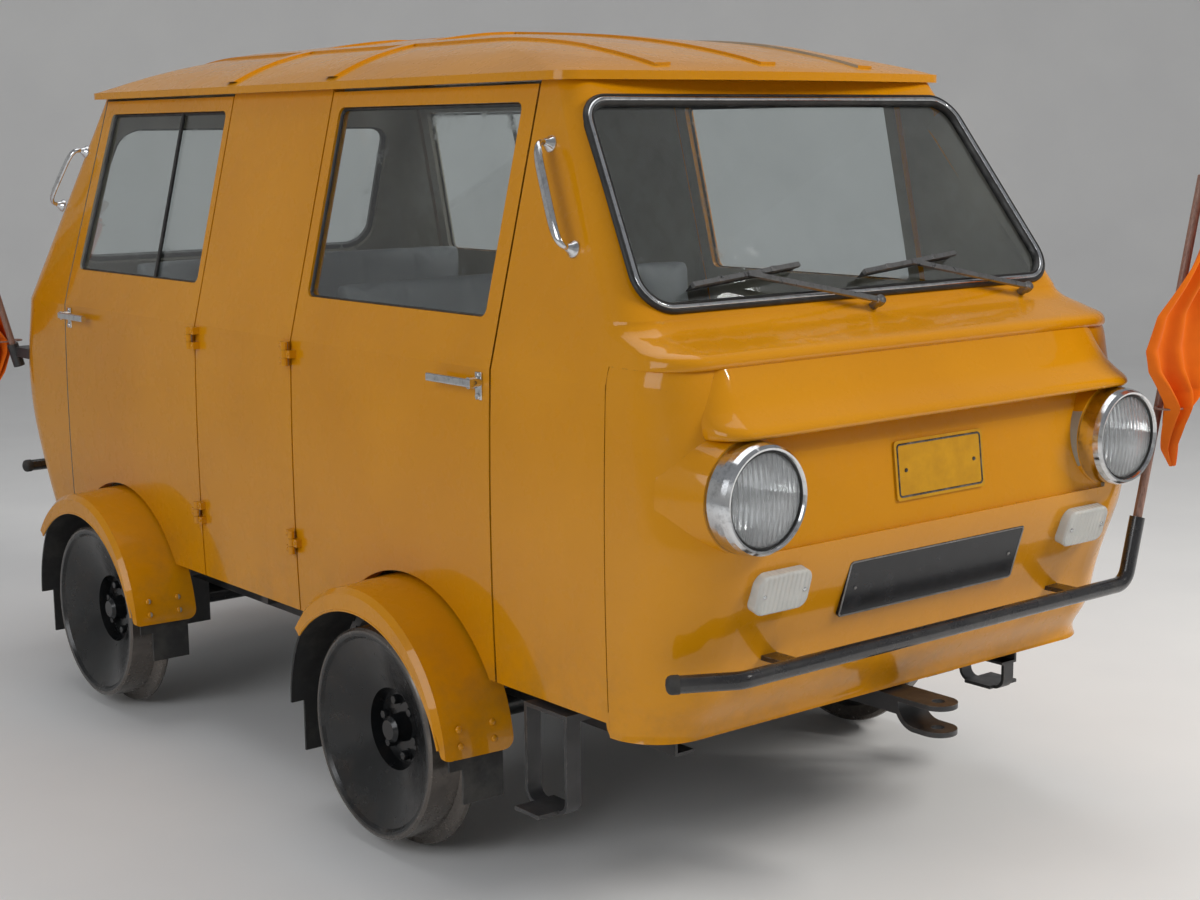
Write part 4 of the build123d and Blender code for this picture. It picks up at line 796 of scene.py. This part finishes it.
# Front plates: middle of the face, outward direction, size, the edge's look, and how much smaller it is
PLATE_EDGES = {
    "upper_plate_edge": ((0, -1.5455, 0.8985), (0, -0.993, 0.1174), (0.264, 0.120), "black_tube", 0.016),
    "lower_plate_edge": ((0, -1.5347, 0.6777), (0, -0.9565, -0.2917), (0.526, 0.124), "wiper_metal", 0.005),
}
PLATE_CORNER_R = 0.007
PLATE_BEAD = (0.0042, 0.0016)       # width and height
PLATE_SCREW_IN = 0.030
PLATE_SCREW_R = 0.0042


def plate_edges():
    """Raised edges round the two blank plates, and their screws."""
    for name, (at, out, (w, h), look, less) in PLATE_EDGES.items():
        local = frame_at(at, (1, 0, 0), out)
        bm = bmesh.new()
        outline = rounded(rectangle(w - less, h - less), PLATE_CORNER_R, 5)
        sweep(bm, local, outline, half_round(*PLATE_BEAD))
        for side in (-1, 1):
            spot = Matrix.Translation((side * (w / 2 - PLATE_SCREW_IN), 0, 0))
            screw_head(bm, local @ spot, PLATE_SCREW_R)
        add_piece(name, bm, look, CAR)


WIPER_X = (0.0, 0.475)
WIPER_BLADE = (-0.330, 0.062)    # middle of a blade from its spindle, across and up the glass
WIPER_HALF = 0.150
WIPER_TILT = 0.014
WIPER_LIP = [
    (-0.0042, 0.0172), (0.0042, 0.0172), (0.0012, 0.0060), (0.0008, -0.0015),
    (-0.0008, -0.0015), (-0.0012, 0.0060),
]
SPINDLE_AT = (-0.022, 0.016)     # up the glass and out of it
SPINDLE_CAP = [(0.0115, 0), (0.0120, 0.010), (0.0100, 0.0165), (0.0050, 0.0190), (0, 0.0195)]
CLIP = (0.016, 0.0125, 0.0115)
CLIP_X = 0.075
CLIP_OUT = 0.0225
CLIP_BEVEL = 0.002


def wiper_details():
    """Rubber lips of the wipers, their clips and the caps on their spindles."""
    screen = SCREEN[0]
    lip_bm, cap_bm = bmesh.new(), bmesh.new()
    across, up = WIPER_BLADE
    for x in WIPER_X:
        ends = [Vector((x + across + s * WIPER_HALF, up + s * WIPER_TILT)) for s in (-1, 1)]
        sweep(lip_bm, screen, ends, WIPER_LIP, closed=False)
        lathe(cap_bm, screen @ Matrix.Translation((x, *SPINDLE_AT)), SPINDLE_CAP, 24)
        for s in (-CLIP_X, CLIP_X):
            at = (x + across + s, up + s * WIPER_TILT / WIPER_HALF, CLIP_OUT)
            soft_box(cap_bm, screen @ Matrix.Translation(at), CLIP, CLIP_BEVEL)
    add_piece("wiper_lips", lip_bm, "seal_rubber", CAR)
    add_piece("wiper_caps", cap_bm, "wiper_metal", CAR)


# Open ends of the bumper tubes: middle and outward direction
BUMPER_ENDS = (
    ((-0.688, -1.506, 0.561), (-0.803, 0.595, -0.046)),
    ((-0.660, 1.565, 0.567), (-1, 0, 0)),
    ((0.660, 1.565, 0.567), (1, 0, 0)),
)
BUMPER_CAP = [
    (0.0172, -0.016), (0.0186, -0.014), (0.0186, 0), (0.0165, 0.0055), (0.0110, 0.0092), (0, 0.0110),
]


def bumper_caps():
    bm = bmesh.new()
    for at, out in BUMPER_ENDS:
        lathe(bm, frame_at(at, (0, 0, 1), out), BUMPER_CAP, 28)
    add_piece("bumper_caps", bm, "flap_rubber", CAR)


# Soft goods


def evaluated_copy(obj):
    graph = bpy.context.evaluated_depsgraph_get()
    return bpy.data.meshes.new_from_object(obj.evaluated_get(graph), depsgraph=graph)


def swap_mesh(obj, mesh):
    """Give the object its evaluated mesh and drop the modifiers."""
    obj.modifiers.clear()
    old, obj.data = obj.data, mesh
    bpy.data.meshes.remove(old)


CLOTH_FRAMES = 20
SWELL_PRESSURE = 4.0
SWELL_CAP = 0.024


def swell(obj, pinned):
    """Blow a closed mesh up as cloth; pinned points stay, and no point moves beyond the cap."""
    obj.vertex_groups.new(name="pinned").add(pinned, 1.0, "REPLACE")
    cloth = obj.modifiers.new("swell", "CLOTH")
    cloth.settings.use_pressure = True
    cloth.settings.uniform_pressure_force = SWELL_PRESSURE
    cloth.settings.vertex_group_mass = "pinned"
    cloth.settings.effector_weights.gravity = 0.0
    cloth.point_cache.frame_start = 1
    cloth.point_cache.frame_end = CLOTH_FRAMES
    start = [v.co.copy() for v in obj.data.vertices]
    for i in range(1, CLOTH_FRAMES + 1):
        bpy.context.scene.frame_set(i)
    blown = evaluated_copy(obj)
    for v, was in zip(blown.vertices, start):
        move = v.co - was
        if move.length > SWELL_CAP:
            v.co = was + move * (SWELL_CAP / move.length)
    swap_mesh(obj, blown)
    bpy.context.scene.frame_set(1)


PAD_GAPS = (0.012, 0.010, 0.014)    # room left for the swelling, on every side
PAD_BEVEL = 0.024
PAD_VOXEL = 0.011
PAD_PINNED = 0.004                  # depth of the pinned layer on the resting face
CHANNELS = 6
CHANNEL_HALF = 0.0055
CHANNEL_DEPTH = 0.005
CHANNEL_REACH = 0.012               # a seam pins points down to this far under the free face's top layer


def pad(name, local, size, rest_side):
    """Seat pad with sewn channels across it; rest_side is the face that rests, -1 or 1 along Z."""
    bm = bmesh.new()
    small = tuple(s - 2 * gap for s, gap in zip(size, PAD_GAPS))
    soft_box(bm, Matrix(), small, PAD_BEVEL, 3)
    obj = add_piece(name, bm, "seat_cover", CAR, 180)
    remesh = obj.modifiers.new("remesh", "REMESH")
    remesh.mode = "VOXEL"
    remesh.voxel_size = PAD_VOXEL
    swap_mesh(obj, evaluated_copy(obj))
    rest = small[2] / 2 - PAD_PINNED
    pinned = []
    for v in obj.data.vertices:
        seam = (v.co.x / small[0] + 0.5) * CHANNELS
        off = abs(seam - round(seam)) * small[0] / CHANNELS
        sewn = 0 < round(seam) < CHANNELS and off < CHANNEL_HALF
        toward_rest = v.co.z * rest_side
        if toward_rest > rest or (sewn and toward_rest < -rest + CHANNEL_REACH):
            pinned.append(v.index)
            if toward_rest < 0:
                v.co.z += rest_side * CHANNEL_DEPTH * (1 - off / CHANNEL_HALF)
    swell(obj, pinned)
    obj.modifiers.new("smooth", "SUBSURF").levels = 1
    swap_mesh(obj, evaluated_copy(obj))
    obj.data.transform(local)
    obj.data.shade_smooth()
    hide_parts("seat_cushions")


BENCH_Y = {"front": (-0.555, -0.290), "rear": (0.535, 0.800)}   # middle of the seat and of its back
SEAT_Z = 0.690
SEAT = (1.14, 0.43, 0.098)
BACK_Z = 0.950
BACK = (1.12, 0.56, 0.080)
BACK_LEAN = radians(9)
UPRIGHT = Matrix(((1, 0, 0, 0), (0, 0, 1, 0), (0, -1, 0, 0), (0, 0, 0, 1)))     # stands a flat pad up


def seat_pads():
    for end, (seat_y, back_y) in BENCH_Y.items():
        pad(f"seat_pad_{end}", Matrix.Translation((0, MID_Y + seat_y, SEAT_Z)), SEAT, -1)
        back = Matrix.Translation((0, MID_Y + back_y, BACK_Z)) @ Matrix.Rotation(-BACK_LEAN, 4, "X")
        pad(f"seat_back_{end}", back @ UPRIGHT, BACK, 1)


# The flags as they hang: height, edge toward the cab and outer edge; the rear one hangs closer to its staff
FLAG_ROWS = {
    "front": [
        (1.430, 0.790, 0.838), (1.400, 0.783, 0.856), (1.345, 0.762, 0.868), (1.223, 0.660, 0.866),
        (1.159, 0.603, 0.860), (1.087, 0.572, 0.848), (1.041, 0.580, 0.834), (0.990, 0.618, 0.800),
        (0.958, 0.640, 0.728), (0.919, 0.650, 0.708), (0.860, 0.664, 0.722), (0.818, 0.700, 0.722),
    ],
    "rear": [
        (1.430, 0.792, 0.838), (1.400, 0.788, 0.856), (1.345, 0.776, 0.866), (1.223, 0.736, 0.866),
        (1.159, 0.716, 0.860), (1.087, 0.700, 0.848), (1.041, 0.690, 0.834), (0.990, 0.676, 0.794),
        (0.958, 0.664, 0.736), (0.919, 0.672, 0.726), (0.860, 0.698, 0.750), (0.818, 0.728, 0.750),
    ],
}
FLAG_WIDTH = 0.31
FLAG_CUT = [(1.430, 0.45), (1.340, 1.0), (0.958, 1.0), (0.818, 0.12)]    # height and share of the width
FLAG_TIES = ((0.684, 0.955, 0.050), (0.816, 1.416, 0.034))      # place across, height and half width
FLAG_TIE_DEPTH = 0.030
FLAG_TIE_Y = -1.618
FLAG_CORD_R = 0.0022
FLAG_BACK_Y = -1.602      # where the cloth comes nearest to the cab
FLAG_GRID = (96, 120)
REAR_FLAG = Matrix.Translation((-0.0055, -0.022, 0)) @ Matrix.Rotation(pi, 4, "Z")
# Waves that make the folds: share of the depth, number across the cloth, drift with the height, start
FOLD_WAVES = ((1.0, 3, 1.0, 0.0), (0.50, 1.6, -1.7, 1.0), (0.14, 5.3, 2.4, 0.0))
FOLD_DRIFT = 5.0
FOLD_START_Z = 1.1
FOLD_DEEPEST = 0.08
FOLD_HALVINGS = 18


def between(rows, z):
    """Values of a table of rows, whose first column falls, at a height."""
    for (z0, *upper), (z1, *lower) in zip(rows, rows[1:]):
        if z >= z1:
            t = (z0 - z) / (z0 - z1)
            return [a + (b - a) * t for a, b in zip(upper, lower)]
    return list(rows[-1][1:])


def fold_line(rows, z, depth, count):
    """Points across the cloth at a height, with folds of a depth."""
    left, right = between(rows, z)
    shift = FOLD_DRIFT * (z - FOLD_START_Z)
    points = []
    for i in range(count + 1):
        s = i / count
        wave = sum(share * sin(2 * pi * folds * s + drift * shift + start)
                   for share, folds, drift, start in FOLD_WAVES)
        points.append(Vector((left + (right - left) * s, -depth * wave, z)))
    return points


def run_of(points):
    return sum((b - a).length for a, b in zip(points, points[1:]))


def flag_mesh(bm, rows):
    """Grid of the hanging cloth; the folds are as deep as the cloth's own width needs."""
    count, steps = FLAG_GRID
    top, low = rows[0][0], rows[-1][0]
    grid = []
    for j in range(steps + 1):
        z = top + (low - top) * j / steps
        width = FLAG_WIDTH * between(FLAG_CUT, z)[0]
        shallow, deep = 0.0, FOLD_DEEPEST
        for _ in range(FOLD_HALVINGS):
            depth = (shallow + deep) / 2
            if run_of(fold_line(rows, z, depth, count)) < width:
                shallow = depth
            else:
                deep = depth
        points = fold_line(rows, z, depth, count)
        push = Vector((0, FLAG_BACK_Y - max(p.y for p in points), 0))
        grid.append([bm.verts.new(p + push) for p in points])
    for a, b in zip(grid, grid[1:]):
        for i in range(count):
            bm.faces.new((a[i], a[i + 1], b[i + 1], b[i]))


def flags():
    for end, turn in (("front", Matrix()), ("rear", REAR_FLAG)):
        bm = bmesh.new()
        flag_mesh(bm, FLAG_ROWS[end])
        bm.transform(turn)
        cloth = add_piece(f"signal_flag_{end}", bm, "flag_cloth", CAR, 180)
        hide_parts(f"flag_{end}")
        tie_bm = bmesh.new()
        for x, z, wide in FLAG_TIES:
            loop = [Vector((wide * u, FLAG_TIE_DEPTH * v)) for u, v in circle(1, 40)]
            sweep(tie_bm, turn @ Matrix.Translation((x, FLAG_TIE_Y, z)), loop, circle(FLAG_CORD_R, 8))
        tie = add_piece(f"flag_tie_{end}", tie_bm, "staff_wood", CAR)


# Stage, light and camera


FLOOR_R = 11.0
FLOOR_DROP = 0.0005
COVE_R = 2.0
COVE_STEPS = 16
COVE_TOP_Z = 6.0


def stage():
    """Round pale floor that curves up into a wall on all sides."""
    bm = bmesh.new()
    bends = [pi / 2 * i / COVE_STEPS for i in range(COVE_STEPS + 1)]
    cove = [(FLOOR_R - COVE_R + COVE_R * sin(a), COVE_R - COVE_R * cos(a)) for a in bends]
    lathe(bm, Matrix.Translation((0, 0, -FLOOR_DROP)), [(0, 0), *cove, (FLOOR_R, COVE_TOP_Z)], 96)
    floor = new_object("stage_floor", smooth_mesh("stage_floor", bm))
    mat, nt, b = new_material("stage_floor")
    hue = mix(nt, spread(nt, noise(nt, 1.5, 3)), (0.86, 0.86, 0.85), (0.82, 0.82, 0.815))
    nt.links.new(hue, b.inputs["Base Color"])
    set_in(b, Roughness=0.85, Specular_IOR_Level=0.2)
    floor.data.materials.append(mat)


CAMERA_AZIMUTH = 38.72
CAMERA_PITCH = 9.526
CAMERA_ROLL = -0.625
CAMERA_AT = Vector((-2.911, -4.077, 1.572))
FOCAL_PX = 1907.7
PHOTO_WIDTH = 1200.0
SENSOR_WIDTH = 36.0
CAMERA_FAR = 100.0


def camera():
    a, e, r = radians(CAMERA_AZIMUTH), radians(CAMERA_PITCH), radians(CAMERA_ROLL)
    forward = Vector((sin(a) * cos(e), cos(a) * cos(e), -sin(e)))
    right = Vector((cos(a), -sin(a), 0))
    up = right.cross(forward)
    right, up = cos(r) * right + sin(r) * up, -sin(r) * right + cos(r) * up
    data = bpy.data.cameras.new("photo_camera")
    data.sensor_width = SENSOR_WIDTH
    data.lens = FOCAL_PX / PHOTO_WIDTH * SENSOR_WIDTH
    data.clip_end = CAMERA_FAR
    cam = new_object("photo_camera", data)
    turn = Matrix((right, up, -forward)).transposed().to_4x4()
    cam.matrix_world = Matrix.Translation(CAMERA_AT) @ turn
    bpy.context.scene.camera = cam


WARM = (1.0, 0.97, 0.93)
COOL = (0.95, 0.97, 1.0)
WHITE = (1, 1, 1)
# Area lights: place, target, size, power, tone, and whether glossy surfaces mirror the light
LIGHTS = {
    "key": ((3.4, -4.8, 4.6), (0, -0.6, 0.8), (2.6, 2.0), 240, WARM, False),
    "glint": ((2.5, -5.2, 4.3), (0, -1.4, 1.0), (0.30, 0.30), 16, WARM, True),
    "fill": ((-5.2, -1.6, 3.0), (0, 0, 0.8), (3.4, 2.6), 85, COOL, True),
    "top": ((0.2, 0.6, 5.2), (0, 0, 0.8), (4.2, 4.2), 75, WHITE, True),
}


def lights():
    for name, (at, target, size, power, tone, mirrored) in LIGHTS.items():
        data = bpy.data.lights.new(name, "AREA")
        data.shape = "RECTANGLE"
        data.size, data.size_y = size
        data.energy = power
        data.color = tone
        lamp = new_object(name, data)
        lamp.visible_glossy = mirrored
        lamp.location = at
        lamp.rotation_euler = (Vector(target) - Vector(at)).to_track_quat("-Z", "Y").to_euler()


def background(nt, tone, strength):
    node = nt.nodes.new("ShaderNodeBackground")
    node.inputs["Color"].default_value = (*tone, 1)
    node.inputs["Strength"].default_value = strength
    return node.outputs[0]


def surroundings():
    """A dim sky that lights the scene, and a pale one that the camera and the glass show."""
    world = bpy.data.worlds.new("studio")
    bpy.context.scene.world = world
    world.use_nodes = True
    nt = world.node_tree
    nt.nodes.clear()
    out = nt.nodes.new("ShaderNodeOutputWorld")
    rays = nt.nodes.new("ShaderNodeLightPath")
    seen = calc(nt, "MAXIMUM", rays.outputs["Is Camera Ray"], rays.outputs["Is Transmission Ray"])
    both = nt.nodes.new("ShaderNodeMixShader")
    nt.links.new(seen, both.inputs["Fac"])
    nt.links.new(background(nt, (0.86, 0.88, 0.92), 0.28), both.inputs[1])
    nt.links.new(background(nt, (0.86, 0.86, 0.855), 1.0), both.inputs[2])
    nt.links.new(both.outputs[0], out.inputs["Surface"])


paint_nodes()
end_window_trim()
side_window_trim()
wheel_bolts()
mudguard_trim()
hinge_screws()
door_handle_plates()
grab_handles()
lamp_details()
plate_edges()
wiper_details()
bumper_caps()
seat_pads()
flags()

bpy.context.scene.view_settings.view_transform = "Standard"
camera()
stage()
lights()
surroundings()
